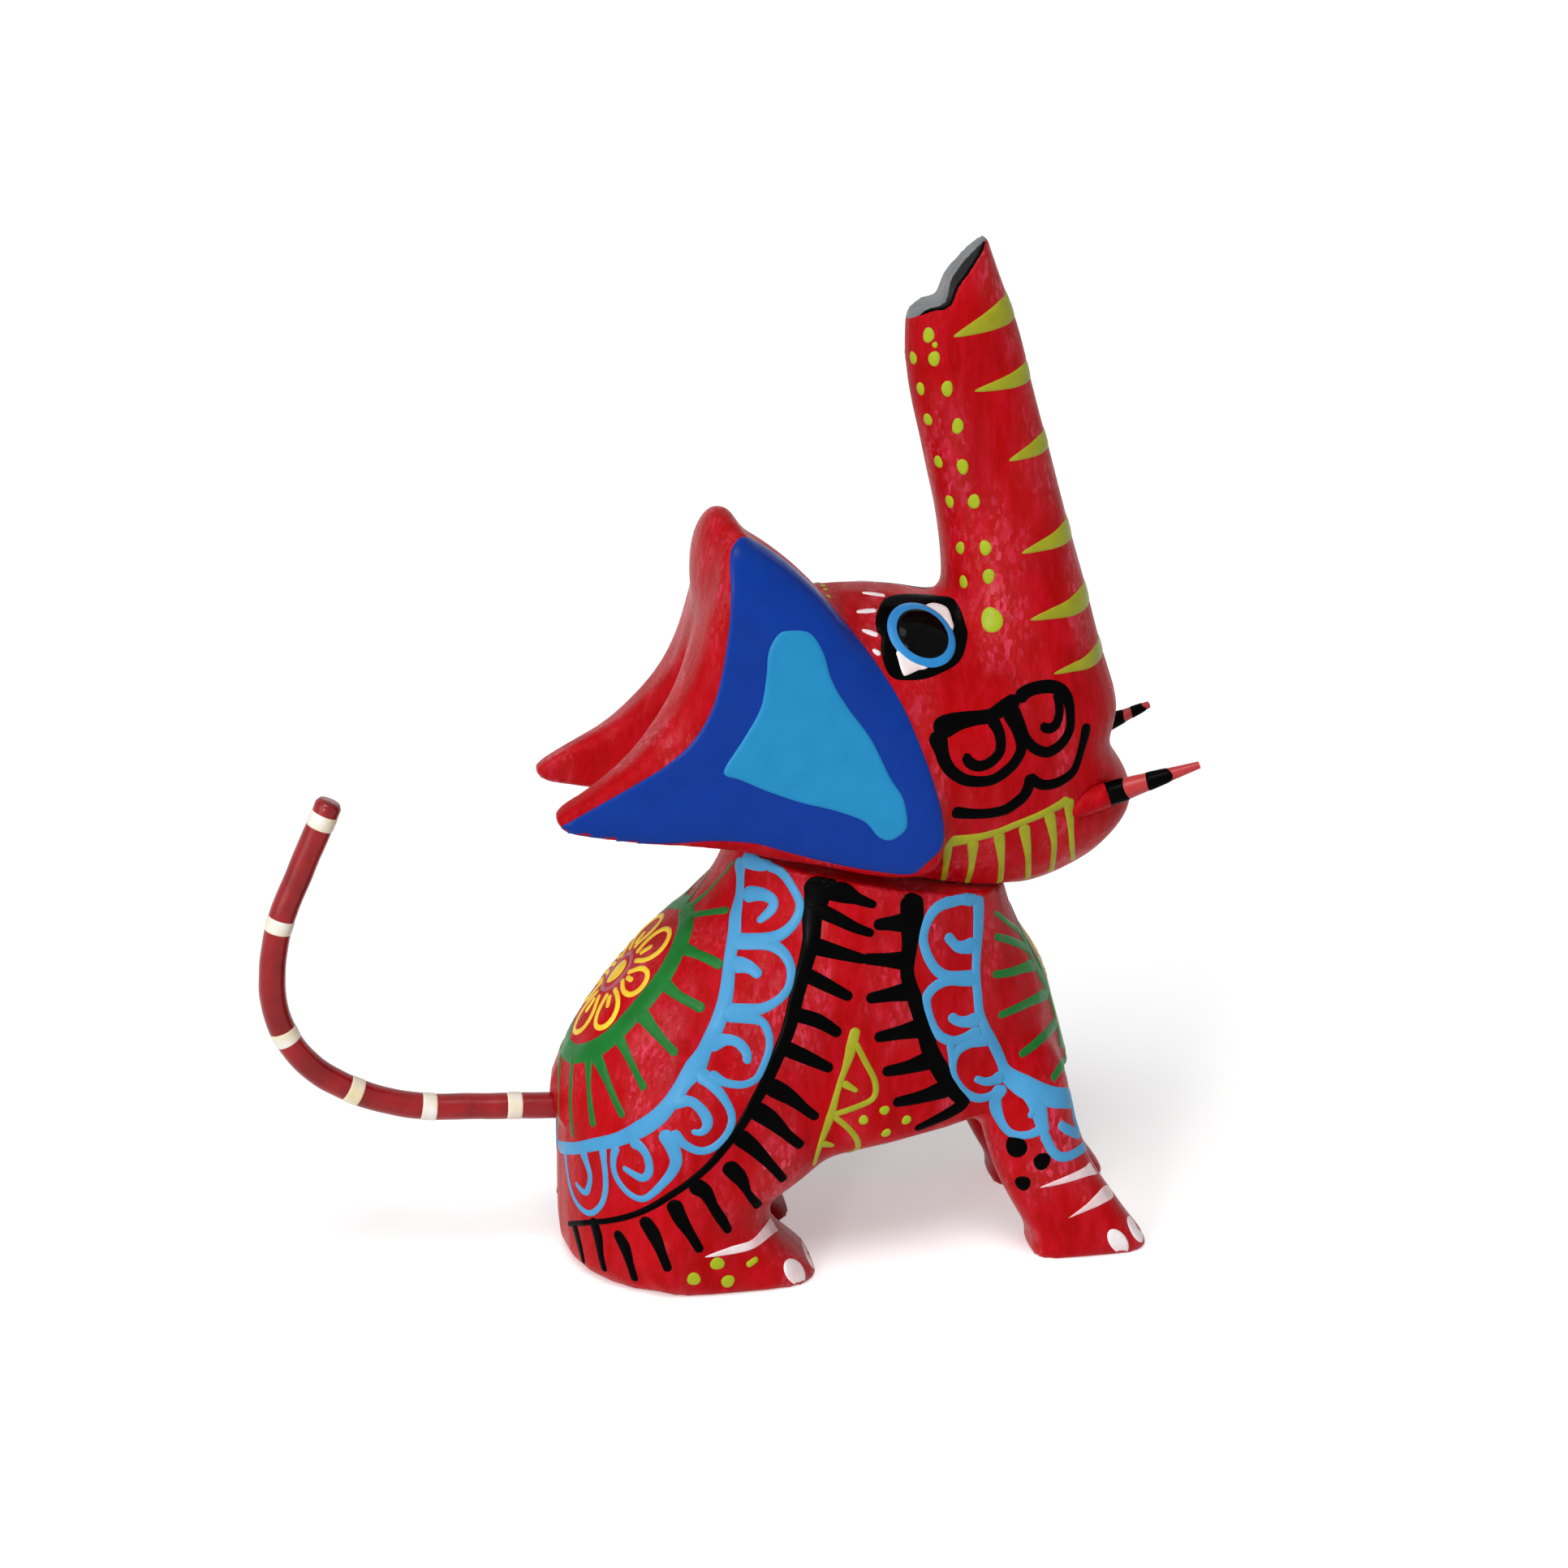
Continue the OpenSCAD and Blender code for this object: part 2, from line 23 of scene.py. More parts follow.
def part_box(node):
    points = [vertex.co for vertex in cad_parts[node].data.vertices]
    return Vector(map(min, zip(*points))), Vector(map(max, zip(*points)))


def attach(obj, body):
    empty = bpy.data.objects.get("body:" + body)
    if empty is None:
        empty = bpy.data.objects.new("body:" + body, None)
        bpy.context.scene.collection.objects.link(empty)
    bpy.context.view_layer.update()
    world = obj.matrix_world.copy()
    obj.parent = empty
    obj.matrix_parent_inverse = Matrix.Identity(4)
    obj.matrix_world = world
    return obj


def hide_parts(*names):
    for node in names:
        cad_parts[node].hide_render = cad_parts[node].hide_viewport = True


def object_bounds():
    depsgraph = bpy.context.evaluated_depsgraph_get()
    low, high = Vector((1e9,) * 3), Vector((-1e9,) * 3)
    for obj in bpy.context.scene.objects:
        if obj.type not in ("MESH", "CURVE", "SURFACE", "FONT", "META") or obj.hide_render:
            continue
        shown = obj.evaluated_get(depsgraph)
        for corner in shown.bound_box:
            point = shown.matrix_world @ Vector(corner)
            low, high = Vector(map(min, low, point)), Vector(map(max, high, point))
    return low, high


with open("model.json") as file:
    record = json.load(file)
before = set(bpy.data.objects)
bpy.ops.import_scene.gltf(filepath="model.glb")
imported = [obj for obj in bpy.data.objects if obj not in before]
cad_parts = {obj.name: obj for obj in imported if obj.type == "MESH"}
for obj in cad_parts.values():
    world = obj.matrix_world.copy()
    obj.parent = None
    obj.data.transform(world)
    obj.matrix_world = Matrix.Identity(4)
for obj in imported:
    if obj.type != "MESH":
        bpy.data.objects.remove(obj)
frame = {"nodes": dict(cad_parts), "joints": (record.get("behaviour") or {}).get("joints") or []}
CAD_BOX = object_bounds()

LOG = logging.getLogger("elephant")
MM = 0.001

# Most of a noise's values lie between these two
NOISE_RANGE = (0.3, 0.7)

Pair = tuple[float, float]
Triple = tuple[float, float, float]
Widths = tuple[float, ...]
Pixel = tuple[float, float]
Line = tuple[Pixel, ...]
Colour = tuple[int, int, int]


class Side(Enum):
    """The side of the figure that a mark lies on, as the sign of its mirror."""

    NEAR = 1
    FAR = -1


@dataclass(frozen=True)
class PhotoView:
    """The photograph's viewpoint, which places the marks and the camera."""

    azimuth: float = -11.0
    elevation: float = 20.0
    distance: float = 413.0
    target: Triple = (6.1, 0.0, 47.0)
    frame_px: int = 1932
    px_per_mm: float = 12.9
    sensor: float = 36.0
    clip: Pair = (0.01, 20.0)

    def axes(self) -> tuple[Vector, Vector, Vector]:
        """Works out the picture's own directions.

        Returns:
            The directions to the right, up, and back to the eye.
        """
        a = math.radians(self.azimuth)
        e = math.radians(self.elevation)
        back = Vector((math.sin(a) * math.cos(e), -math.cos(a) * math.cos(e), math.sin(e)))
        right = Vector((math.cos(a), math.sin(a), 0.0))
        return right, back.cross(right), back

    def eye(self) -> Vector:
        """Returns the place of the eye, in metres."""
        return (Vector(self.target) + self.axes()[2] * self.distance) * MM

    def focal_px(self) -> float:
        """Returns the focal length in photograph pixels."""
        return self.px_per_mm * self.distance

    def ray(self, pixel: Pixel) -> tuple[Vector, Vector]:
        """Finds the line of sight through a pixel.

        Args:
            pixel: a place in the photograph.

        Returns:
            The eye and the direction of sight.
        """
        right, up, back = self.axes()
        middle = self.frame_px / 2
        across = (pixel[0] - middle) / self.focal_px()
        rise = (middle - pixel[1]) / self.focal_px()
        return self.eye(), (right * across + up * rise - back).normalized()

    def make_camera(self) -> None:
        """Puts the scene's camera where the photograph was taken."""
        data = bpy.data.cameras.new("camera")
        data.sensor_width = self.sensor
        data.lens = self.focal_px() / self.frame_px * self.sensor
        data.clip_start, data.clip_end = self.clip
        camera = bpy.data.objects.new("camera", data)
        camera.location = self.eye()
        camera.rotation_mode = "QUATERNION"
        camera.rotation_quaternion = (-self.axes()[2]).to_track_quat("-Z", "Y")
        bpy.context.scene.collection.objects.link(camera)
        bpy.context.scene.camera = camera


VIEW = PhotoView()


def linear(colour: Colour) -> tuple[float, float, float, float]:
    """Turns a colour as the eye reads it into the linear colour of a shader socket.

    Args:
        colour: its red, green and blue, from 0 to 255.

    Returns:
        The linear colour, fully opaque.
    """
    parts = [c / 255 for c in colour]
    red, green, blue = (c / 12.92 if c <= 0.04045 else ((c + 0.055) / 1.055) ** 2.4 for c in parts)
    return red, green, blue, 1.0


class Wiring:
    """A material's node tree, with short calls to add and join its nodes."""

    def __init__(self, name: str) -> None:
        """Starts a material with only a shader and an output.

        Args:
            name: the material's name.
        """
        self.material = bpy.data.materials.new(name)
        self.material.use_nodes = True
        self.tree = self.material.node_tree
        self.shader = self.tree.nodes["Principled BSDF"]

    def add(self, kind: str, **settings: object) -> bpy.types.Node:
        """Adds a node.

        Args:
            kind: Blender's name of the node type.
            settings: properties of the node, or values of its sockets.

        Returns:
            The node.
        """
        node = self.tree.nodes.new(kind)
        for key, value in settings.items():
            if key in node.inputs:
                node.inputs[key].default_value = value
            else:
                setattr(node, key, value)
        return node

    def join(self, source: bpy.types.NodeSocket, target: bpy.types.NodeSocket) -> None:
        """Links two sockets."""
        self.tree.links.new(source, target)

    def feed(self, name: str, source: bpy.types.NodeSocket) -> None:
        """Joins a socket to the shader's socket of that name."""
        self.join(source, self.shader.inputs[name])

    def texture(self, kind: str, size: float, stretch: Triple, **settings: float) -> bpy.types.Node:
        """Adds a texture that stays with the object.

        Args:
            kind: Blender's name of the texture's node type.
            size: size of its features in millimetres.
            stretch: how many times longer the features are along each axis.
            settings: further values of its sockets.

        Returns:
            The texture's node.
        """
        place = self.add("ShaderNodeTexCoord")
        mapping = self.add("ShaderNodeMapping")
        mapping.inputs["Scale"].default_value = tuple(1 / (size * MM * s) for s in stretch)
        node = self.add(kind, Scale=1.0, **settings)
        self.join(place.outputs["Object"], mapping.inputs["Vector"])
        self.join(mapping.outputs["Vector"], node.inputs["Vector"])
        return node

    def grain(self, size: float, stretch: Triple = (1, 1, 1), detail: float = 3.0,
              roughness: float = 0.55) -> bpy.types.NodeSocket:
        """Returns the value of a noise with features of that size and finer layers of that strength."""
        node = self.texture("ShaderNodeTexNoise", size, stretch, Detail=detail, Roughness=roughness)
        return node.outputs["Fac"]

    def cells(self, size: float, stretch: Triple) -> bpy.types.NodeSocket:
        """Returns the colour of small cells of that size, each of one chance colour."""
        return self.texture("ShaderNodeTexVoronoi", size, stretch).outputs["Color"]

    def span(self, value: bpy.types.NodeSocket, low: float, high: float, to_low: float,
             to_high: float) -> bpy.types.NodeSocket:
        """Stretches a value from one range to another.

        Args:
            value: the socket to stretch.
            low: value that becomes to_low.
            high: value that becomes to_high.
            to_low: result at low.
            to_high: result at high.

        Returns:
            The stretched value's socket.
        """
        node = self.add("ShaderNodeMapRange")
        for socket, number in zip(node.inputs[1:5], (low, high, to_low, to_high)):
            socket.default_value = number
        self.join(value, node.inputs[0])
        return node.outputs[0]

    def blend(self, share: bpy.types.NodeSocket, first: object, second: object) -> bpy.types.NodeSocket:
        """Mixes two colours.

        Args:
            share: socket with the share of the second.
            first: a colour or a colour socket.
            second: a colour or a colour socket.

        Returns:
            The mixed colour's socket.
        """
        node = self.add("ShaderNodeMix", data_type="RGBA")
        self.join(share, node.inputs[0])
        for socket, colour in ((node.inputs[6], first), (node.inputs[7], second)):
            if isinstance(colour, bpy.types.NodeSocket):
                self.join(colour, socket)
            else:
                socket.default_value = linear(colour)
        return node.outputs[2]

    def relief(self, heights: Sequence[tuple[bpy.types.NodeSocket, float]]) -> None:
        """Gives the shader a bump of several layers.

        Args:
            heights: each layer's height socket and its depth in millimetres.
        """
        normal = None
        for height, depth in heights:
            bump = self.add("ShaderNodeBump", Strength=1.0, Distance=depth * MM)
            self.join(height, bump.inputs["Height"])
            if normal is not None:
                self.join(normal, bump.inputs["Normal"])
            normal = bump.outputs["Normal"]
        self.join(normal, self.shader.inputs["Normal"])
        self.join(normal, self.shader.inputs["Coat Normal"])

    def flakes(self, cells: bpy.types.NodeSocket, tilt: float) -> None:
        """Tilts the shader's clear coat by chance in each cell, so that single flakes catch the light.

        Args:
            cells: the cells' colour socket.
            tilt: how far a flake may lean, as a share of its outward direction.
        """
        lean = self.add("ShaderNodeVectorMath", operation="MULTIPLY_ADD")
        lean.inputs[1].default_value = (2 * tilt,) * 3
        lean.inputs[2].default_value = (-tilt,) * 3
        self.join(cells, lean.inputs[0])
        total = self.add("ShaderNodeVectorMath", operation="ADD")
        self.join(lean.outputs[0], total.inputs[0])
        self.join(self.shader.inputs["Normal"].links[0].from_socket, total.inputs[1])
        unit = self.add("ShaderNodeVectorMath", operation="NORMALIZE")
        self.join(total.outputs[0], unit.inputs[0])
        self.join(unit.outputs[0], self.shader.inputs["Coat Normal"])

    def set(self, **sockets: object) -> None:
        """Sets plain values on the shader's sockets, with _ for a space in a name."""
        for key, value in sockets.items():
            self.shader.inputs[key.replace("_", " ")].default_value = value


@dataclass(frozen=True)
class BrushPaint:
    """An ornament's paint: brushed on thick, with thin and thick places."""

    name: str
    colour: Colour
    thin: Colour
    roughness: float = 0.38
    stroke: float = 0.5
    relief: float = 0.012
    shine: float = 0.3
    coat: float = 0.05
    coat_roughness: float = 0.2
    stroke_stretch: Triple = (1.0, 1.0, 3.0)
    patch: float = 2.6
    patch_range: Pair = (0.35, 0.7)
    smoother: float = 0.08
    rougher: float = 0.1

    def material(self) -> bpy.types.Material:
        """Makes the paint's material.

        Returns:
            The material.
        """
        w = Wiring(self.name)
        patches = w.grain(self.patch, detail=4.0)
        bristles = w.grain(self.stroke, self.stroke_stretch, detail=5.0)
        colour = w.blend(w.span(patches, *self.patch_range, 0.0, 1.0), self.colour, self.thin)
        matt = w.span(bristles, *NOISE_RANGE, self.roughness - self.smoother, self.roughness + self.rougher)
        w.feed("Base Color", colour)
        w.feed("Roughness", matt)
        w.relief([(bristles, self.relief), (patches, self.relief * 2)])
        w.set(Specular_IOR_Level=self.shine, Coat_Weight=self.coat, Coat_Roughness=self.coat_roughness)
        return w.material


@dataclass(frozen=True)
class PearlPaint:
    """The red ground: pearly paint brushed over bare wood, with painted sheen along its strokes and painted
    glints in pale pink flecks.
    """

    name: str
    colour: Colour = (174, 7, 9)
    deep: Colour = (158, 6, 8)
    # Painted sheen: a pinker red mixed into the colour along the brush strokes, in place of the paint's
    # pearly shine
    painted_sheen: Colour = (206, 22, 48)
    # Painted glints: a pale pink put into the colour on chance flakes in chance patches
    painted_glint: Colour = (228, 70, 104)
    sheen: tuple[float, float, float, float] = (1.0, 0.4, 0.5, 1.0)
    patch: float = 7.0
    patch_range: Pair = (0.35, 0.65)
    stroke: float = 0.9
    stroke_depth: float = 0.08
    stretch: Triple = (1.0, 1.0, 4.0)
    painted_sheen_range: Pair = (0.42, 0.75)
    painted_sheen_share: float = 0.5
    grit: float = 0.28
    grit_depth: float = 0.04
    roughness: Pair = (0.26, 0.5)
    zone: float = 5.0
    flake: float = 0.34
    flake_stretch: Triple = (1.0, 1.0, 2.2)
    tilt: float = 0.22
    painted_glint_zone: Pair = (0.5, 0.68)
    painted_glint_flakes: Pair = (0.55, 0.85)
    painted_glint_share: float = 0.6
    gloss_zone: Pair = (0.44, 0.66)
    gloss: Pair = (0.03, 0.28)
    gloss_roughness: float = 0.17
    shine: float = 0.05

    def material(self) -> bpy.types.Material:
        """Makes the paint's material.

        Returns:
            The material.
        """
        w = Wiring(self.name)
        patches = w.grain(self.patch)
        strokes = w.grain(self.stroke, self.stretch, detail=6.0, roughness=0.65)
        grit = w.grain(self.grit, roughness=0.7)
        zones = w.grain(self.zone, self.stretch, detail=2.0)
        cells = w.cells(self.flake, self.flake_stretch)
        # Painted glints: where the chance patches and the flakes meet, the colour turns pale pink
        painted_glint_mask = w.add("ShaderNodeMath", operation="MULTIPLY")
        w.join(w.span(zones, *self.painted_glint_zone, 0.0, self.painted_glint_share), painted_glint_mask.inputs[0])
        w.join(w.span(cells, *self.painted_glint_flakes, 0.0, 1.0), painted_glint_mask.inputs[1])
        ground = w.blend(w.span(patches, *self.patch_range, 0.0, 1.0), self.deep, self.colour)
        # Painted sheen: the pinker red along the strokes
        colour = w.blend(w.span(strokes, *self.painted_sheen_range, 0.0, self.painted_sheen_share), ground, self.painted_sheen)
        w.feed("Base Color", w.blend(painted_glint_mask.outputs[0], colour, self.painted_glint))
        w.feed("Roughness", w.span(grit, *NOISE_RANGE, *self.roughness))
        w.relief([(grit, self.grit_depth), (strokes, self.stroke_depth)])
        w.flakes(cells, self.tilt)
        w.feed("Coat Weight", w.span(zones, *self.gloss_zone, *self.gloss))
        w.set(Specular_IOR_Level=self.shine, Specular_Tint=self.sheen, Coat_Roughness=self.gloss_roughness)
        return w.material


@dataclass(frozen=True)
class GlossDrop:
    """The wet-looking black of a pupil."""

    name: str = "pupil_gloss"
    colour: Colour = (2, 2, 3)
    streak: Colour = (5, 5, 6)
    streak_range: Pair = (0.45, 0.7)
    swirl: float = 0.8
    swirl_depth: float = 0.01
    roughness: Pair = (0.05, 0.14)
    shine: float = 0.02
    coat: float = 0.06
    coat_roughness: float = 0.04

    def material(self) -> bpy.types.Material:
        """Makes the drop's material.

        Returns:
            The material.
        """
        w = Wiring(self.name)
        swirl = w.grain(self.swirl, detail=4.0)
        colour = w.blend(w.span(swirl, *self.streak_range, 0.0, 1.0), self.colour, self.streak)
        w.feed("Base Color", colour)
        w.feed("Roughness", w.span(swirl, *NOISE_RANGE, *self.roughness))
        w.relief([(swirl, self.swirl_depth)])
        w.set(Specular_IOR_Level=self.shine, Coat_Weight=self.coat, Coat_Roughness=self.coat_roughness)
        return w.material


@dataclass(frozen=True)
class BareWood:
    """Light, close-grained wood with no paint on it."""

    name: str = "bare_copal"
    colour: Colour = (222, 190, 142)
    growth: Colour = (196, 156, 104)
    growth_range: Pair = (0.4, 0.65)
    ring: float = 1.1
    ring_stretch: Triple = (1.0, 1.0, 9.0)
    pore: float = 0.25
    pore_stretch: Triple = (1.0, 1.0, 14.0)
    pore_depth: float = 0.02
    roughness: Pair = (0.55, 0.8)

    def material(self) -> bpy.types.Material:
        """Makes the wood's material.

        Returns:
            The material.
        """
        w = Wiring(self.name)
        rings = w.grain(self.ring, self.ring_stretch)
        pores = w.grain(self.pore, self.pore_stretch, detail=4.0)
        colour = w.blend(w.span(rings, *self.growth_range, 0.0, 1.0), self.colour, self.growth)
        w.feed("Base Color", colour)
        w.feed("Roughness", w.span(pores, *NOISE_RANGE, *self.roughness))
        w.relief([(pores, self.pore_depth)])
        return w.material


class Palette(Enum):
    """The figure's paints, each made into a material once."""

    RED_BODY = PearlPaint("pearl_red_body", stretch=(1.0, 1.0, 3.0))
    RED_HEAD = PearlPaint("pearl_red_head", stretch=(1.0, 1.0, 4.0))
    TUSK = BrushPaint("tusk_pink", (188, 54, 53), (168, 38, 40), relief=0.01)
    TAIL = BrushPaint("tail_red", (156, 20, 24), (124, 10, 16), roughness=0.26, stroke=0.9, shine=0.15,
                      coat=0.3)
    BLACK = BrushPaint("black_paint", (1, 1, 1), (3, 3, 3), roughness=0.3, shine=0.01, coat=0.025)
    LIME = BrushPaint("lime_paint", (160, 178, 26), (150, 166, 22), shine=0.15)
    OLIVE = BrushPaint("olive_paint", (158, 160, 32), (144, 142, 24), shine=0.15)
    SKY = BrushPaint("sky_paint", (73, 151, 200), (66, 143, 192), shine=0.12)
    EAR_SKY = BrushPaint("ear_sky_paint", (34, 135, 186), (31, 129, 180), roughness=0.48, shine=0.1)
    DEEP_BLUE = BrushPaint("deep_blue_paint", (7, 53, 144), (6, 49, 137), roughness=0.34, stroke=0.9,
                           shine=0.08)
    IRIS = BrushPaint("iris_paint", (38, 136, 202), (28, 116, 184))
    GREEN = BrushPaint("green_paint", (12, 112, 38), (8, 96, 30), shine=0.15)
    YELLOW = BrushPaint("yellow_paint", (240, 208, 44), (226, 182, 34))
    MAUVE = BrushPaint("mauve_paint", (172, 88, 104), (150, 62, 80))
    WHITE = BrushPaint("white_paint", (238, 234, 234), (226, 204, 206))
    DRY_WHITE = BrushPaint("dry_white_paint", (234, 220, 221), (216, 166, 171), stroke=0.25, relief=0.02)
    CREAM = BrushPaint("cream_paint", (238, 236, 230), (226, 208, 160))
    # Painted highlight: a light grey standing for the light on the black-painted cut of the trunk's tip
    GREY = BrushPaint("grey_paint", (122, 124, 126), (88, 90, 92), roughness=0.45)
    PUPIL = GlossDrop()
    WOOD = BareWood()

    def material(self) -> bpy.types.Material:
        """Returns the paint's material, made at its first use."""
        return bpy.data.materials.get(self.value.name) or self.value.material()


def cover(mesh: bpy.types.Mesh, finish: Palette) -> None:
    """Gives a mesh one finish in place of any that it has."""
    mesh.materials.clear()
    mesh.materials.append(finish.material())


def link(name: str, mesh: bpy.types.Mesh, finish: Palette) -> bpy.types.Object:
    """Puts a mesh into the scene as a smooth piece.

    Args:
        name: the piece's name.
        mesh: its mesh, in metres, in the frame's place.
        finish: the paint that it shows.

    Returns:
        The piece.
    """
    cover(mesh, finish)
    mesh.shade_smooth()
    piece = bpy.data.objects.new(name, mesh)
    bpy.context.scene.collection.objects.link(piece)
    return piece


def mount(piece: bpy.types.Object, body: str) -> None:
    """Sets a piece on its body and reports it.

    Args:
        piece: the piece.
        body: the body that it rides on.
    """
    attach(piece, body)
    LOG.info("%s: %d faces, rides on %s", piece.name, len(piece.data.polygons), body)


def loft(shape: bmesh.types.BMesh, rows: Sequence[Sequence[bmesh.types.BMVert]],
         capped: bool = False) -> None:
    """Joins rings of equally many corners with faces.

    Args:
        shape: the mesh that holds the corners.
        rows: the rings in order; the first stands again at the end where they close into a ring.
        capped: whether the first and last ring get a face too.
    """
    for a, b in zip(rows, rows[1:]):
        for k in range(len(a)):
            n = (k + 1) % len(a)
            shape.faces.new((a[k], a[n], b[n], b[k]))
    if capped:
        shape.faces.new(reversed(rows[0]))
        shape.faces.new(rows[-1])


def finished(shape: bmesh.types.BMesh, name: str) -> bpy.types.Mesh:
    """Turns a shape into a mesh with its faces outwards.

    Args:
        shape: the shape, which is used up.
        name: the mesh's name.

    Returns:
        The mesh.
    """
    bmesh.ops.recalc_face_normals(shape, faces=shape.faces)
    mesh = bpy.data.meshes.new(name)
    shape.to_mesh(mesh)
    shape.free()
    return mesh


def spline(points: Sequence[Sequence[float]], step: float, closed: bool = False) -> list[tuple[float, ...]]:
    """Samples a smooth curve through points of any number of dimensions.

    Args:
        points: what the curve passes through; the first two values say how far apart they lie.
        step: largest distance between samples.
        closed: whether the curve runs back to its start.

    Returns:
        The samples in order, without the start repeated where the curve is closed.
    """
    count = len(points)
    samples = []
    for i in range(count if closed else count - 1):
        if closed:
            a, b, c, d = (points[(i + k) % count] for k in (-1, 0, 1, 2))
        else:
            a, b, c, d = (points[min(max(i + k, 0), count - 1)] for k in (-1, 0, 1, 2))
        pieces = max(2, math.ceil(math.dist(b[:2], c[:2]) / step))
        for k in range(pieces):
            t = k / pieces
            samples.append(tuple(
                q + (r - p) * t / 2 + (2 * p - 5 * q + 4 * r - s) * t * t / 2
                + (3 * (q - r) + s - p) * t ** 3 / 2
                for p, q, r, s in zip(a, b, c, d)))
    if not closed:
        samples.append(tuple(points[-1]))
    return samples


def spread(values: Sequence[float], share: float) -> float:
    """Reads a list of values that are spread evenly over a length.

    Args:
        values: the values.
        share: where to read, as a share of the length from 0 to 1.

    Returns:
        The value there.
    """
    place = min(max(share, 0.0), 1.0) * (len(values) - 1)
    i = min(int(place), max(len(values) - 2, 0))
    after = values[min(i + 1, len(values) - 1)]
    return values[i] + (after - values[i]) * (place - i)


class Surface:
    """A carved skin that paint lies on."""

    # Steps to where a line passes nearest, and the length of a step over the skin
    APPROACHES = 10
    PACE = 0.4 * MM
    # From this far behind a mark's last place on, the skin is that of another limb
    LEAP = 3.0 * MM

    def __init__(self, piece: bpy.types.Object) -> None:
        """Reads the skin of a piece.

        Args:
            piece: the piece, which sits at the origin.
        """
        self.corners = [v.co.copy() for v in piece.data.vertices]
        self.normals = [v.normal.copy() for v in piece.data.vertices]
        self.faces = [p.vertices[:] for p in piece.data.polygons]
        self.tree = BVHTree.FromPolygons(self.corners, self.faces)
        self.middle = sum(self.corners, Vector()) / len(self.corners)

    def snap(self, point: Vector) -> tuple[Vector, Vector]:
        """Returns the nearest place on the skin and its outward direction."""
        place, normal, _, _ = self.tree.find_nearest(point)
        return place, normal

    def cast(self, origin: Vector, direction: Vector) -> Vector:
        """Follows a line to the skin.

        Args:
            origin: where the line starts.
            direction: where it goes.

        Returns:
            The place that it meets, or where it passes nearest if it misses.
        """
        place = self.tree.ray_cast(origin, direction)[0]
        if place is None:
            place = self.approach(origin, direction, self.middle)
        return place

    def approach(self, origin: Vector, direction: Vector, place: Vector) -> Vector:
        """Finds where a line passes nearest to the skin.

        Args:
            origin: where the line starts.
            direction: where it goes.
            place: a place to look from.

        Returns:
            The place on the skin.
        """
        for _ in range(self.APPROACHES):
            place = self.snap(origin + direction * (place - origin).dot(direction))[0]
        return place

    def under(self, pixel: Pixel, near: Vector | None = None) -> Vector:
        """Finds the place on the skin that a pixel of the photograph shows.

        Args:
            pixel: the pixel.
            near: the mark's last place, if it has one; the mark stays on the edge of that limb.

        Returns:
            The place.
        """
        origin, direction = VIEW.ray(pixel)
        place = self.cast(origin, direction)
        if near is not None and (place - near).dot(direction) > self.LEAP:
            place = self.approach(origin, direction, near)
        return place

    def walk(self, start: Vector, heading: Vector, length: float) -> Vector:
        """Goes over the skin in a straight line.

        Args:
            start: a place on the skin.
            heading: the direction to set off in.
            length: how far to go.

        Returns:
            The place where the walk ends.
        """
        place, normal = self.snap(start)
        steps = max(1, math.ceil(length / self.PACE))
        for _ in range(steps):
            heading = (heading - normal * heading.dot(normal)).normalized()
            place, normal = self.snap(place + heading * (length / steps))
        return place


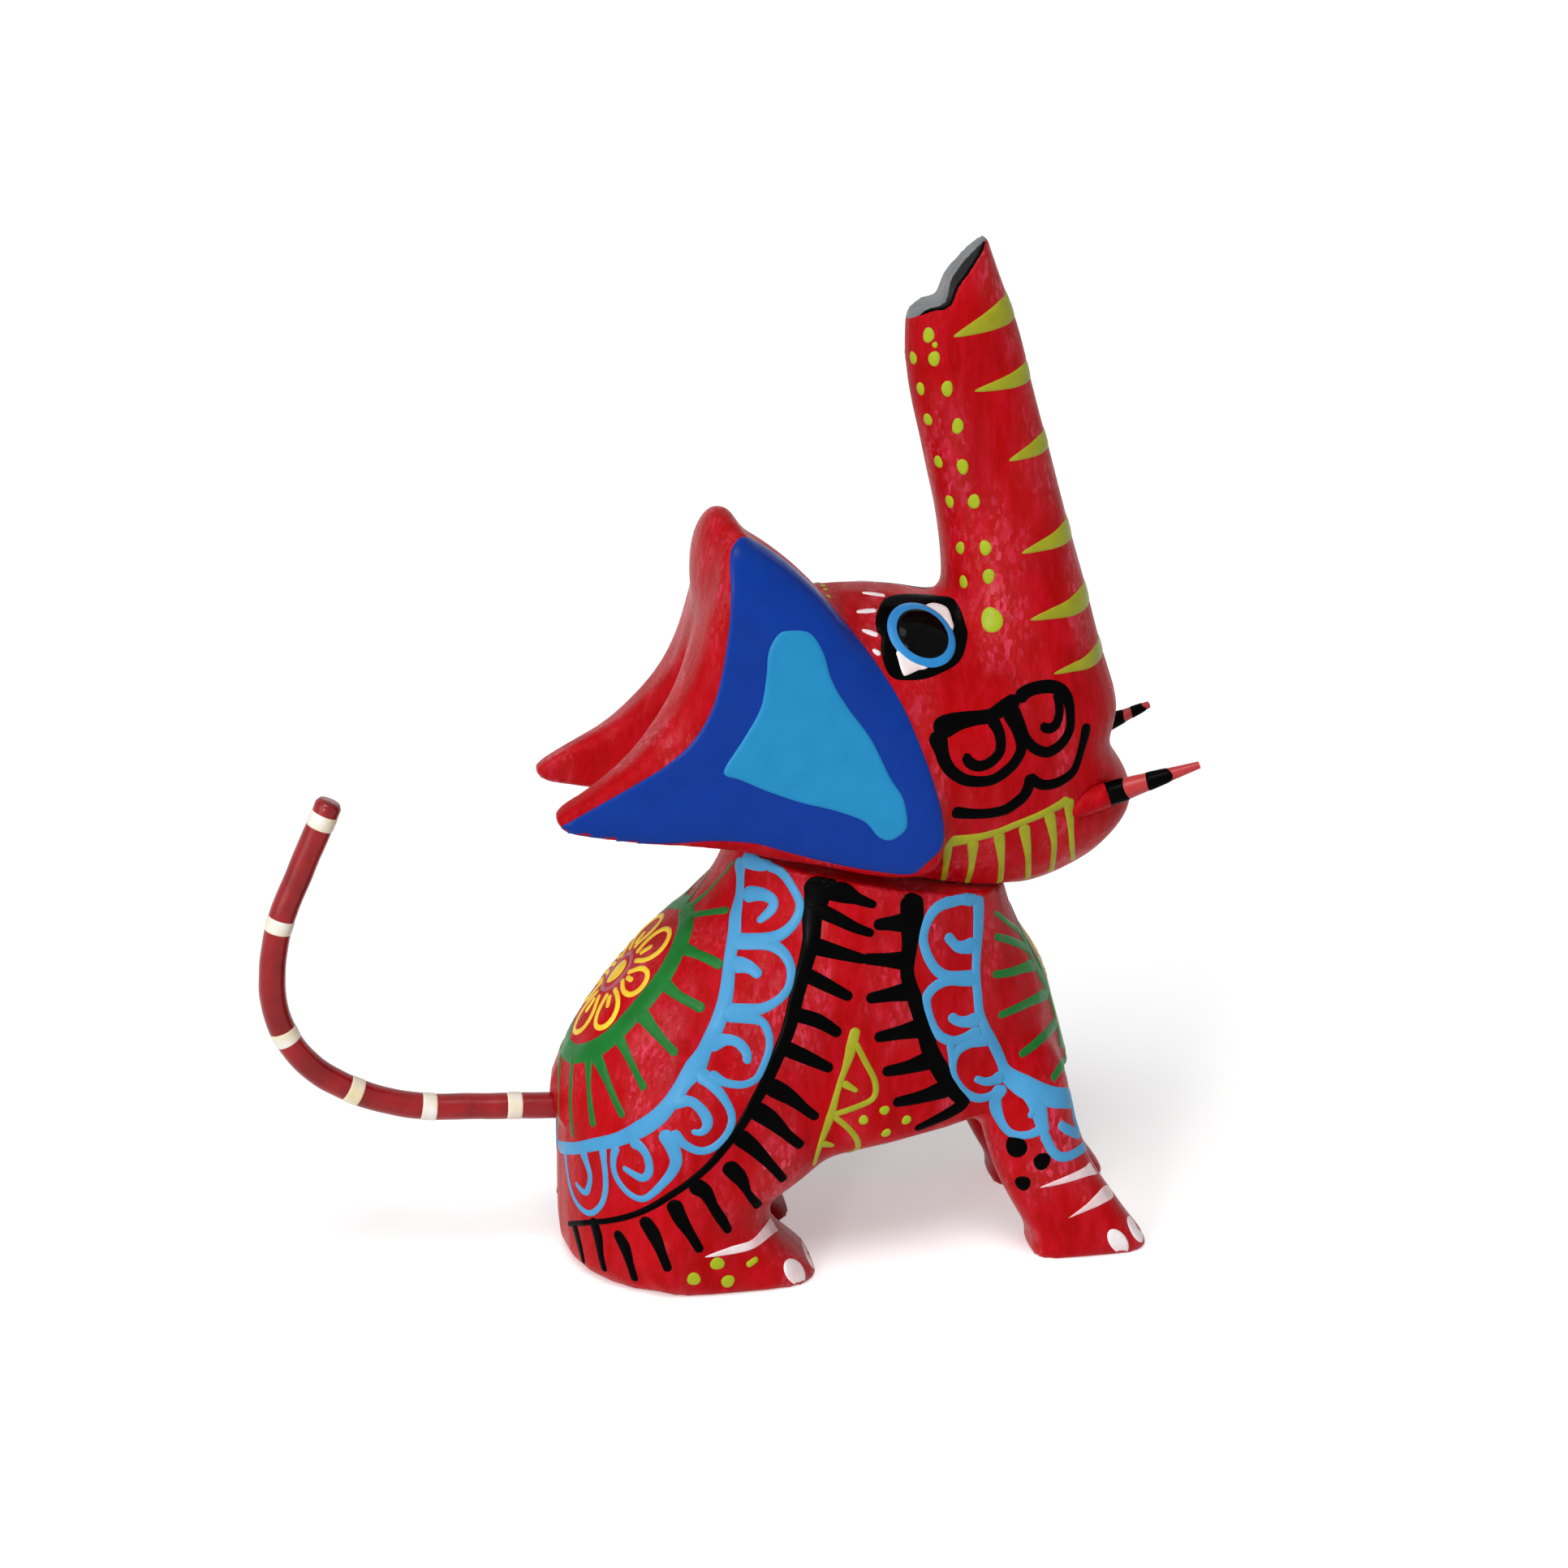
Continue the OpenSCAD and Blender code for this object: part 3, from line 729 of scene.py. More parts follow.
class Film:
    """All marks of one paint on one carved block, gathered into one piece."""

    # Depth of a film's edge in the wood, and the depth over which a coat reaches its full build-up
    SINK = 0.05 * MM
    FADE = 0.2 * MM
    # Steps along a stroke, in pixels and on the wood, and the shortest of them
    TRACE_STEP = 4.0
    STEP = 0.24 * MM
    LEAST_STEP = 0.03 * MM
    # A stroke narrower than this is thinner too
    FULL_WIDTH = 0.6 * MM
    # Where a round end has its places, in half widths from the end, and the share of the width it starts with
    CAP = (0.0, 0.08, 0.25, 0.5, 0.75)
    CAP_START = 0.12
    # An outline's step in pixels, and the tries and the margin in pixels when it is drawn in
    RIM_STEP = 2.5
    DRAW_STEPS = 60
    DRAW_MARGIN = 2.5
    # Shares of the edge at its middle row, of a grid step left clear, and of an inset that has to remain
    EDGE_ROW = 0.3
    GRID_CLEAR = 0.5
    INSET_KEPT = 0.85
    # The least length to divide by, and the mesher's setting for faces inside an outline and its tolerance
    TINY = 1e-9
    INSIDE = 1
    TOLERANCE = 1e-4
    # A dot's corners, its waves' number and size, and the sine of the slope under which wood counts as level
    DOT_CORNERS = 18
    DOT_WAVES = ((2, 0.05), (3, 0.04))
    LEVEL = 0.1
    # Sections of a dot and a stroke: shares of the half width and of the build-up
    DOME = ((0.45, 0.97), (0.75, 0.85), (0.92, 0.55), (1.0, 0.0))
    RIB = ((-1.1, 0.0), (-0.92, 0.6), (-0.5, 0.93), (0.0, 1.0), (0.5, 0.93), (0.92, 0.6), (1.1, 0.0))

    def __init__(self, name: str, wood: Surface, finish: Palette, build_up: float) -> None:
        """Starts a film with no marks.

        Args:
            name: the name of the piece that it becomes.
            wood: the skin that it lies on.
            finish: its paint.
            build_up: how far it stands out of the wood, in millimetres.
        """
        self.name = name
        self.wood = wood
        self.finish = finish
        self.build_up = build_up * MM
        self.mesh = bmesh.new()
        self.chance = random.Random(name)
        self.far_shift: Callable[[Vector], Vector] = Vector

    def to_side(self, point: Vector, side: Side) -> Vector:
        """Finds a near point's place on one side.

        Args:
            point: the point on the near side.
            side: the side.

        Returns:
            The place on the wood.
        """
        if side is Side.NEAR:
            return point
        far = self.far_shift(point)
        return self.wood.snap(Vector((far.x, -far.y, far.z)))[0]

    def lift(self, point: Vector, height: float) -> bmesh.types.BMVert:
        """Adds a corner of the film over the place nearest to a point.

        Args:
            point: a point near the wood.
            height: share of the film's build-up; 0 is its edge, sunk into the wood.

        Returns:
            The corner.
        """
        place, normal = self.wood.snap(point)
        return self.mesh.verts.new(place + normal * (height * (self.build_up + self.SINK) - self.SINK))

    def trace(self, through: Sequence[Pixel], widths: Sequence[float]) -> tuple[list[Vector], list[float]]:
        """Carries a stroke from the photograph onto the wood.

        Args:
            through: pixels that the stroke passes through.
            widths: widths in millimetres, spread evenly over the stroke.

        Returns:
            Places on the wood and the width at each, in metres.
        """
        samples = spline(through, self.TRACE_STEP)
        last = len(samples) - 1
        places: list[Vector] = []
        for sample in samples:
            places.append(self.wood.under(sample, places[-1] if places else None))
        return places, [spread(widths, i / last) * MM for i in range(last + 1)]

    def evened(self, places: Sequence[Vector], widths: Sequence[float]) -> tuple[list[Vector], list[float]]:
        """Spaces a stroke's places evenly, with close ones where its ends are rounded.

        Args:
            places: places along the stroke.
            widths: the width at each.

        Returns:
            The new places on the wood and their widths, narrowed to round ends.
        """
        marks = [0.0]
        for a, b in zip(places, places[1:]):
            marks.append(marks[-1] + (b - a).length)
        total = marks[-1]
        count = max(3, math.ceil(total / self.STEP))
        first = [min(r * widths[0] / 2, total / 2) for r in self.CAP]
        last = [total - min(r * widths[-1] / 2, total / 2) for r in self.CAP]
        wanted = sorted([total * i / count for i in range(1, count)] + first + last)
        result, sizes = [], []
        k = 0
        previous = -math.inf
        for want in wanted:
            if want - previous < self.LEAST_STEP:
                continue
            previous = want
            while k < len(marks) - 2 and marks[k + 1] < want:
                k += 1
            gap = max(marks[k + 1] - marks[k], self.TINY)
            t = min(max((want - marks[k]) / gap, 0.0), 1.0)
            width = widths[k] + (widths[k + 1] - widths[k]) * t
            for reach, end in ((want, widths[0]), (total - want, widths[-1])):
                if reach < end / 2:
                    width *= max(self.CAP_START, math.sqrt(max(0.0, 1 - (1 - 2 * reach / end) ** 2)))
            result.append(self.wood.snap(places[k].lerp(places[k + 1], t))[0])
            sizes.append(width)
        return result, sizes

    def ribbon(self, places: Sequence[Vector], widths: Sequence[float]) -> None:
        """Adds one closed, rounded stroke.

        Args:
            places: places along its middle, in metres.
            widths: the width at each.
        """
        places, widths = self.evened(places, widths)
        inner = [(a + b * 2 + c) / 4 for a, b, c in zip(places, places[1:], places[2:])]
        soft = [places[0], *inner, places[-1]]
        rows = []
        for i, (place, width) in enumerate(zip(soft, widths)):
            place, normal = self.wood.snap(place)
            ahead = soft[min(i + 1, len(soft) - 1)] - soft[max(i - 1, 0)]
            across = normal.cross(ahead).normalized()
            thick = min(1.0, width / self.FULL_WIDTH)
            rows.append([self.lift(place + across * (u * width / 2), h * thick) for u, h in self.RIB])
        loft(self.mesh, rows, capped=True)

    def stroke(self, through: Sequence[Pixel], *widths: float, sides: Iterable[Side] = Side) -> None:
        """Paints a stroke that the photograph shows.

        Args:
            through: pixels that it passes through.
            widths: widths in millimetres, spread evenly over it.
            sides: the sides of the figure that get it.
        """
        places, sizes = self.trace(through, widths)
        for side in sides:
            self.ribbon([self.to_side(p, side) for p in places], sizes)

    def dot(self, place: Vector, radius: float, tall: float) -> None:
        """Adds one domed dot.

        Args:
            place: its middle.
            radius: its radius in millimetres.
            tall: its height over its width.
        """
        place, normal = self.wood.snap(place)
        across = Vector((0.0, 0.0, 1.0)).cross(normal)
        across = across.normalized() if across.length > self.LEVEL else Vector((0.0, 1.0, 0.0))
        upward = normal.cross(across)
        waves = [(times, size, self.chance.uniform(0.0, math.tau)) for times, size in self.DOT_WAVES]
        rings = []
        for share, height in self.DOME:
            ring = []
            for k in range(self.DOT_CORNERS):
                turn = math.tau * k / self.DOT_CORNERS
                uneven = 1 + sum(size * math.sin(times * turn + start) for times, size, start in waves)
                spoke = across * math.cos(turn) + upward * (tall * math.sin(turn))
                ring.append(self.lift(place + spoke * (radius * MM * share * uneven), height))
            rings.append(ring)
        loft(self.mesh, rings, capped=True)

    def fill(self, outline: Sequence[Pixel], edge: float = 0.35, grid: float = 5.0,
             dome: Callable[[Pixel], float] = lambda pixel: 1.0, depth: float | None = None) -> None:
        """Paints an area that the photograph shows.

        Args:
            outline: pixels that its rounded outline passes through.
            edge: width of the film's sloping edge in millimetres.
            grid: distance between the film's corners in pixels.
            dome: height of the film at a pixel, as a share of its build-up.
            depth: how far it reaches back from its middle, in millimetres; it ends at the edge of that limb.
        """
        rim = np.array(spline(outline, self.RIM_STEP, closed=True))
        if depth is not None:
            rim = self.drawn_in(rim, depth)
        slope = edge * VIEW.px_per_mm
        (left, top), (right, bottom) = rim.min(axis=0), rim.max(axis=0)
        across, down = np.meshgrid(np.arange(left, right, grid), np.arange(top, bottom, grid))
        across[::2] += grid / 2
        inner = np.column_stack([across.ravel(), down.ravel()])
        inner = inner[self.rim_distances(inner, rim) > slope + self.GRID_CLEAR * grid]
        rows = [self.inner_rim(rim, share * slope) for share in (self.EDGE_ROW, 1.0)]
        spots = np.concatenate([rim, *rows, inner])
        loop = [(i, (i + 1) % len(rim)) for i in range(len(rim))]
        points = [Vector(s) for s in spots]
        flat, _, faces, _, _, _ = delaunay_2d_cdt(points, loop, [], self.INSIDE, self.TOLERANCE)
        inward = np.minimum(1.0, self.rim_distances(np.array(flat), rim) / slope)
        used = sorted({i for face in faces for i in face})
        places = {i: self.wood.under(tuple(flat[i])) for i in used}
        heights = {i: math.sqrt(1 - (1 - inward[i]) ** 2) * dome(tuple(flat[i])) for i in used}
        for side in Side:
            corners = {i: self.lift(self.to_side(places[i], side), heights[i]) for i in used}
            for face in faces:
                self.mesh.faces.new([corners[i] for i in face])

    def drawn_in(self, rim: np.ndarray, depth: float) -> np.ndarray:
        """Draws a closed outline in to the limb that its middle lies on.

        Args:
            rim: the outline's pixels.
            depth: how far behind its middle that limb reaches, in millimetres.

        Returns:
            The outline, with each pixel that shows something else moved towards the middle.
        """
        middle = rim.mean(axis=0)
        anchor = self.wood.under(tuple(middle))
        drawn = []
        for pixel in rim:
            for share in np.linspace(0.0, 1.0, self.DRAW_STEPS):
                spot = pixel + (middle - pixel) * share
                origin, direction = VIEW.ray(tuple(spot))
                place = self.wood.tree.ray_cast(origin, direction)[0]
                if place is not None and (place - anchor).dot(direction) < depth * MM:
                    break
            if share > 0.0:
                inward = middle - spot
                spot = spot + inward * min(1.0, self.DRAW_MARGIN / np.linalg.norm(inward))
            drawn.append(spot)
        return np.array(drawn)

    def inner_rim(self, rim: np.ndarray, inset: float) -> np.ndarray:
        """Moves a closed outline inwards.

        Args:
            rim: the outline's points.
            inset: how far to move it.

        Returns:
            The moved points, without those that come too near to another stretch of the outline.
        """
        before, after = np.roll(rim, 1, axis=0), np.roll(rim, -1, axis=0)
        turned = (rim[:, 0] * after[:, 1] - rim[:, 1] * after[:, 0]).sum()
        along = (after - before) / np.linalg.norm(after - before, axis=1, keepdims=True)
        inward = np.column_stack([-along[:, 1], along[:, 0]]) * np.sign(turned)
        moved = rim + inward * inset
        return moved[self.rim_distances(moved, rim) > self.INSET_KEPT * inset]

    def rim_distances(self, points: np.ndarray, rim: np.ndarray) -> np.ndarray:
        """Measures how far flat points lie from a closed outline.

        Args:
            points: the points.
            rim: the outline's points.

        Returns:
            The distance of each.
        """
        best = np.full(len(points), np.inf)
        for a, b in zip(rim, np.roll(rim, -1, axis=0)):
            along = b - a
            share = np.clip((points - a) @ along / max(along @ along, self.TINY), 0.0, 1.0)
            best = np.minimum(best, np.linalg.norm(points - a - share[:, None] * along, axis=1))
        return best

    def coat(self, depth: Callable[[Vector, Vector], float]) -> None:
        """Paints the part of the skin where a depth is above zero.

        Args:
            depth: how far a place, given with its outward direction, lies inside the painted part, in metres.
        """
        skin = zip(self.wood.corners, self.wood.normals)
        share = [min(1.0, max(-1.0, depth(place, normal) / self.FADE)) for place, normal in skin]
        made = {}
        for face in self.wood.faces:
            if max(share[i] for i in face) <= -1.0:
                continue
            for i in face:
                if i not in made:
                    rise = share[i] * (self.build_up if share[i] > 0 else self.SINK)
                    made[i] = self.mesh.verts.new(self.wood.corners[i] + self.wood.normals[i] * rise)
            self.mesh.faces.new([made[i] for i in face])

    def piece(self, body: str, slot: str) -> None:
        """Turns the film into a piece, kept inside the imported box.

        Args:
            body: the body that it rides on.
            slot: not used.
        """
        for corner in self.mesh.verts:
            corner.co = np.clip(corner.co, *CAD_BOX)
        mount(link(self.name, finished(self.mesh, self.name), self.finish), body)


@dataclass
class CarvedBlock:
    """A block as the knife leaves it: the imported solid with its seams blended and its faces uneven."""

    node: str
    name: str
    body: str
    slot: str
    finish: Palette
    weld: float = 0.001
    voxel: float = 0.36
    rounds: int = 70
    refresh: int = 10
    hollow_pull: float = 0.5
    edge_pull: float = 0.04
    paint_depth: float = 0.06
    knife: float = 0.05
    facet: float = 5.0
    sole_keep: float = 0.5
    bore_keep: float = 4.0
    bore_reach: float = 12.0
    seat_keep: float = 0.6
    seat_reach: float = 13.0
    crisp_above: float = 88.0
    crisp_share: float = 0.25

    def build(self) -> Surface:
        """Makes the block's skin.

        Returns:
            The skin, for paint to lie on.
        """
        source = frame["nodes"][self.node]
        rough = bpy.data.objects.new("rough_" + self.node, source.data.copy())
        bpy.context.scene.collection.objects.link(rough)
        welded = bmesh.new()
        welded.from_mesh(rough.data)
        bmesh.ops.remove_doubles(welded, verts=welded.verts, dist=self.weld * MM)
        welded.to_mesh(rough.data)
        welded.free()
        skin = rough.modifiers.new("skin", "REMESH")
        skin.mode = "VOXEL"
        skin.voxel_size = self.voxel * MM
        mesh = bpy.data.meshes.new_from_object(rough.evaluated_get(bpy.context.evaluated_depsgraph_get()))
        bpy.data.objects.remove(rough)
        self.carve(mesh)
        piece = link(self.name, mesh, self.finish)
        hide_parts(self.node)
        mount(piece, self.body)
        return Surface(piece)

    def freedom(self, places: np.ndarray) -> np.ndarray:
        """Says how far each place may move: seats, bores and soles stay, and the trunk's tip stays crisp.

        Args:
            places: the skin's places, in metres.

        Returns:
            A share from 0 to 1 for each.
        """
        free = np.clip(places[:, 2] / (self.sole_keep * MM), 0.0, 1.0)
        free[places[:, 2] > self.crisp_above * MM] = self.crisp_share
        for joint in frame["joints"]:
            axis = np.array(joint["axis"]) / np.linalg.norm(joint["axis"])
            offset = places - np.array(joint["pos_m"])
            along = offset @ axis
            across = np.linalg.norm(offset - along[:, None] * axis, axis=1)
            bore = (across < self.bore_keep * MM) & (np.abs(along) < self.bore_reach * MM)
            seat = (np.abs(along) < self.seat_keep * MM) & (across < self.seat_reach * MM)
            free[bore | (seat & (joint["name"] == "head_turn"))] = 0.0
        return free

    def carve(self, mesh: bpy.types.Mesh) -> None:
        """Blends the seams of a mesh, sinks it by the paint's depth and leaves the uneven faces of a knife.

        Args:
            mesh: the mesh, which changes in place.
        """
        count = len(mesh.vertices)
        places = np.empty(count * 3)
        mesh.vertices.foreach_get("co", places)
        places = places.reshape(-1, 3)
        ends = np.empty(len(mesh.edges) * 2, dtype=np.int32)
        mesh.edges.foreach_get("vertices", ends)
        pairs = np.concatenate([ends.reshape(-1, 2), ends.reshape(-1, 2)[:, ::-1]])
        degree = np.bincount(pairs[:, 0], minlength=count)[:, None]
        free = self.freedom(places)[:, None]
        for turn in range(self.rounds):
            if turn % self.refresh == 0:
                normals = self.put(mesh, places)
            near = places[pairs[:, 1]]
            total = np.stack([np.bincount(pairs[:, 0], near[:, i], count) for i in range(3)], axis=1)
            pull = total / degree - places
            hollow = (pull * normals).sum(axis=1, keepdims=True) > 0
            places = places + pull * np.where(hollow, self.hollow_pull, self.edge_pull) * free
        normals = self.put(mesh, places)
        dents = np.array([noise.noise(Vector(p) / (self.facet * MM)) for p in places])[:, None]
        places = places + normals * (dents * self.knife - self.paint_depth) * MM * free
        low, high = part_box(self.node)
        self.put(mesh, np.clip(places, low, high))

    @staticmethod
    def put(mesh: bpy.types.Mesh, places: np.ndarray) -> np.ndarray:
        """Moves a mesh's vertices.

        Args:
            mesh: the mesh.
            places: the new places, in metres.

        Returns:
            The vertices' new normals.
        """
        mesh.vertices.foreach_set("co", places.ravel())
        mesh.update()
        normals = np.empty(places.size)
        mesh.vertex_normals.foreach_get("vector", normals)
        return normals.reshape(-1, 3)


def rooted(through: Sequence[Pixel], length: float) -> list[Pixel]:
    """Lengthens a line at its start, so that it grows out of the stroke that it meets.

    Args:
        through: the line's pixels.
        length: pixels to add before its first.

    Returns:
        The longer line.
    """
    first, second = Vector(through[0]), Vector(through[1])
    return [tuple(first + (first - second).normalized() * length), *through[1:]]


def oval(centre: Pixel, radii: Pixel, tilt: float, count: int = 24) -> list[Pixel]:
    """Finds pixels of an oval.

    Args:
        centre: its middle.
        radii: its half width and half height before it is turned.
        tilt: how far it is turned towards the picture's lower right, in degrees.
        count: number of pixels.

    Returns:
        The pixels in order.
    """
    turned = Matrix.Rotation(math.radians(tilt), 2)
    spokes = [(math.cos(math.tau * k / count), math.sin(math.tau * k / count)) for k in range(count)]
    return [tuple(Vector(centre) + turned @ Vector((radii[0] * c, radii[1] * s))) for c, s in spokes]


@dataclass(frozen=True)
class Scroll:
    """One scroll of a painted border: a loop and the hook inside it, by photograph pixels."""

    loop: Line
    loop_w: Widths
    hook: Line
    hook_w: Widths

    def paint(self, film: Film) -> None:
        """Adds the scroll to a film."""
        film.stroke(self.loop, *self.loop_w)
        film.stroke(self.hook, *self.hook_w)


@dataclass(frozen=True)
class Dots:
    """Domed dots of one size, by photograph pixels."""

    pixels: Line
    radius: float
    tall: float = 1.0

    def paint(self, film: Film) -> None:
        """Adds the dots to a film, on both sides.

        Args:
            film: the film.
        """
        for pixel in self.pixels:
            place = film.wood.under(pixel)
            for side in Side:
                film.dot(film.to_side(place, side), self.radius, self.tall)


@dataclass(frozen=True)
class Rosette:
    """A painted flower in a green ring, on the middle line of the body."""

    height: float
    from_x: float
    ring_along: float
    ring_across: float
    ring_w: float = 2.0
    ring_steps: int = 48
    petals: int = 7
    petal_w: float = 0.58
    petal_share: float = 0.8
    petal_step: float = 0.1
    # Shares of the ring's radius and of half a petal's angle
    petal: tuple[Pair, ...] = (
        (0.3, -0.5), (0.5, -0.95), (0.68, -0.8), (0.78, -0.3), (0.78, 0.3), (0.68, 0.8), (0.5, 0.95),
        (0.3, 0.5))
    vein: Triple = (0.36, 0.46, 0.56)
    heart: float = 0.24
    heart_steps: int = 20
    heart_w: float = 0.5
    middle: float = 0.16
    middle_tall: float = 1.5

    def centre(self, wood: Surface) -> Vector:
        """Returns the flower's middle on the wood."""
        origin = Vector((self.from_x * MM, 0.0, self.height * MM))
        return wood.cast(origin, Vector((-self.from_x, 0.0, 0.0)).normalized())

    def polar(self, wood: Surface, share: float, turn: float) -> Vector:
        """Finds a place by its share of the ring's radius and its angle from the upright.

        Args:
            wood: the skin.
            share: distance from the middle, as a share of the ring's radius.
            turn: angle in radians.

        Returns:
            The place.
        """
        start = self.centre(wood)
        up = self.ring_along * math.cos(turn)
        side = self.ring_across * math.sin(turn)
        heading = Vector((0.0, side, up))
        return wood.walk(start, heading, share * math.hypot(up, side) * MM) if share > 0 else start

    def loop(self, film: Film, points: Sequence[Pair], width: float) -> None:
        """Paints a closed or open line given by polar places.

        Args:
            film: the film to add to.
            points: pairs of share and angle.
            width: the line's width in millimetres.
        """
        places = [self.polar(film.wood, share, turn) for share, turn in points]
        film.ribbon(places, [width * MM] * len(places))

    @staticmethod
    def circle(share: float, steps: int) -> list[Pair]:
        """Returns the polar places of a closed circle at a share of the ring's radius."""
        return [(share, math.tau * k / steps) for k in range(steps + 1)]

    def paint(self, ring: Film, petals: Film, heart: Film) -> None:
        """Paints the flower.

        Args:
            ring: film of the ring round it.
            petals: film of its petals and its middle.
            heart: film of the ring round its middle.
        """
        self.loop(ring, self.circle(1.0, self.ring_steps), self.ring_w)
        half = math.pi / self.petals * self.petal_share
        for k in range(self.petals):
            turn = math.tau * (k + 0.5) / self.petals
            outline = spline([(share, turn + half * u) for share, u in self.petal], self.petal_step)
            self.loop(petals, outline, self.petal_w)
            self.loop(petals, [(share, turn) for share in self.vein], self.petal_w)
        self.loop(heart, self.circle(self.heart, self.heart_steps), self.heart_w)
        petals.dot(self.centre(petals.wood), self.ring_across * self.middle, self.middle_tall)


@dataclass
class BodyPaint:
    """The ornament of the body, by photograph pixels, on its carved skin."""

    wood: Surface
    back_border: Line = (
        (911, 1056), (912, 1072), (912, 1090), (910, 1108), (906, 1128), (905, 1147), (901, 1171),
        (898, 1195), (896, 1216), (892, 1238), (883, 1264), (871, 1288), (858, 1313), (844, 1332),
        (829, 1355), (812, 1375), (791, 1390), (761, 1404), (734, 1410), (707, 1415), (689, 1413))
    back_border_w: Widths = (
        2.2, 1.1, 1.0, 1.3, 1.35, 1.2, 1.25, 1.4, 1.5, 1.5,
        1.4, 2.1, 1.5, 1.5, 1.7, 1.7, 1.4, 1.3, 1.2, 1.3)
    back_scrolls: tuple[Scroll, ...] = (
        Scroll(((915, 1056), (931, 1062), (947, 1065), (964, 1076), (976, 1093), (986, 1115), (979, 1136),
                (963, 1151), (943, 1158), (921, 1160), (902, 1158)),
               (1.9, 1.6, 1.0, 0.85, 0.85, 0.95, 1.2, 1.6, 1.6),
               ((915, 1103), (931, 1101), (943, 1103), (953, 1110), (951, 1120), (942, 1129), (933, 1136)),
               (1.9, 1.5, 1.25, 1.1, 1.0, 0.9, 0.6)),
        Scroll(((902, 1160), (925, 1161), (947, 1163), (963, 1172), (972, 1185), (975, 1199), (971, 1218),
                (959, 1232), (941, 1242), (917, 1246), (892, 1246)),
               (1.6, 1.4, 1.2, 0.95, 0.8, 0.85, 1.0, 1.5, 1.7),
               ((900, 1189), (915, 1189), (927, 1194), (937, 1204)), (2.0, 1.5, 1.15, 0.95)),
        Scroll(((892, 1250), (921, 1254), (939, 1259), (947, 1274), (948, 1291), (942, 1310), (933, 1328),
                (919, 1336), (903, 1336), (889, 1332), (874, 1322)),
               (1.5, 1.2, 0.85, 0.75, 0.7, 0.72, 0.72, 0.8, 1.2),
               ((869, 1288), (884, 1283), (898, 1281), (910, 1285), (919, 1295), (921, 1304), (919, 1311)),
               (2.2, 1.7, 1.1, 1.0, 1.0, 0.9, 0.85)),
        Scroll(((859, 1322), (869, 1328), (881, 1340), (891, 1352), (900, 1368), (902, 1381), (897, 1396),
                (886, 1409), (873, 1417), (860, 1418), (848, 1413), (837, 1405), (829, 1393)),
               (1.8, 1.1, 0.8, 0.76, 0.78, 0.8, 0.85, 1.3),
               ((827, 1359), (839, 1357), (851, 1357), (862, 1365), (870, 1376), (872, 1386), (867, 1394),
                (859, 1396), (852, 1393)),
               (2.2, 1.4, 1.0, 1.0, 1.05, 1.1, 0.9, 0.7, 0.55)),
        Scroll(((816, 1393), (828, 1413), (833, 1431), (827, 1446), (816, 1459), (805, 1470), (794, 1477),
                (784, 1476), (772, 1468), (761, 1454), (756, 1440), (756, 1425), (760, 1411)),
               (1.7, 1.4, 1.1, 0.85, 0.7, 0.62, 0.62, 0.65, 1.0),
               ((776, 1406), (787, 1411), (796, 1422), (800, 1436), (799, 1446), (792, 1452), (781, 1447),
                (767, 1438)),
               (1.6, 1.1, 0.9, 0.85, 0.85, 0.8, 0.65, 0.5)),
        Scroll(((742, 1413), (744, 1431), (746, 1449), (746, 1466), (742, 1482), (734, 1492), (726, 1495),
                (717, 1490), (708, 1478), (702, 1461), (699, 1443), (697, 1424), (697, 1413)),
               (1.1, 0.7, 0.65, 0.65, 0.62, 0.62, 0.6, 0.55, 0.5, 0.55, 0.9),
               ((717, 1416), (722, 1431), (727, 1447), (726, 1460), (722, 1470), (715, 1465), (709, 1457)),
               (1.4, 0.8, 0.65, 0.65, 0.7, 0.6, 0.45)),
    )
    back_rays: tuple[tuple[Line, Widths], ...] = (
        (((838, 1122), (852, 1104), (866, 1085), (884, 1054)), (1.2, 0.5, 0.4, 0.35)),
        (((836, 1128), (848, 1118), (870, 1100), (890, 1078), (905, 1060)), (1.4, 0.8, 0.5, 0.4, 0.4)),
        (((838, 1131), (849, 1128), (874, 1124), (898, 1121)), (1.3, 0.75, 0.7, 0.8)),
        (((828, 1163), (839, 1167), (858, 1175), (876, 1183), (890, 1191)), (1.7, 1.3, 0.95, 1.0, 1.1)),
        (((805, 1203), (815, 1209), (835, 1226), (853, 1236), (868, 1244)), (1.8, 1.4, 0.95, 1.0, 1.1)),
        (((786, 1244), (794, 1254), (811, 1275), (834, 1300)), (1.8, 1.3, 0.9, 0.9)),
        (((760, 1275), (766, 1286), (776, 1306), (787, 1329), (795, 1343)), (1.5, 1.0, 0.76, 0.8, 0.97)),
        (((730, 1290), (735, 1302), (746, 1327), (757, 1354), (768, 1377)), (2.0, 1.3, 0.76, 0.8, 0.9)),
        (((725, 1290), (725, 1302), (725, 1332), (727, 1359), (731, 1389)), (1.6, 0.9, 0.6, 0.65, 0.8)),
        (((706, 1290), (705, 1302), (703, 1341), (703, 1368), (706, 1402)), (1.1, 0.6, 0.45, 0.45, 0.5)),
        (((691, 1292), (689, 1320), (688, 1350), (689, 1392)), (0.8, 0.4, 0.35, 0.35)))
    middle_reach: float = 0.8
    chest_border: Line = (
        (1205, 1103), (1206, 1123), (1205, 1157), (1203, 1186), (1203, 1206), (1205, 1228), (1207, 1248),
        (1215, 1269), (1223, 1284), (1232, 1303), (1240, 1322), (1256, 1335), (1276, 1345), (1298, 1352),
        (1321, 1353))
    chest_border_w: Widths = (
        1.6, 1.5, 1.4, 1.15, 1.0, 1.0, 1.0, 1.0, 1.05, 1.2, 1.2, 1.1, 1.8, 2.3, 2.2, 2.1, 2.0)
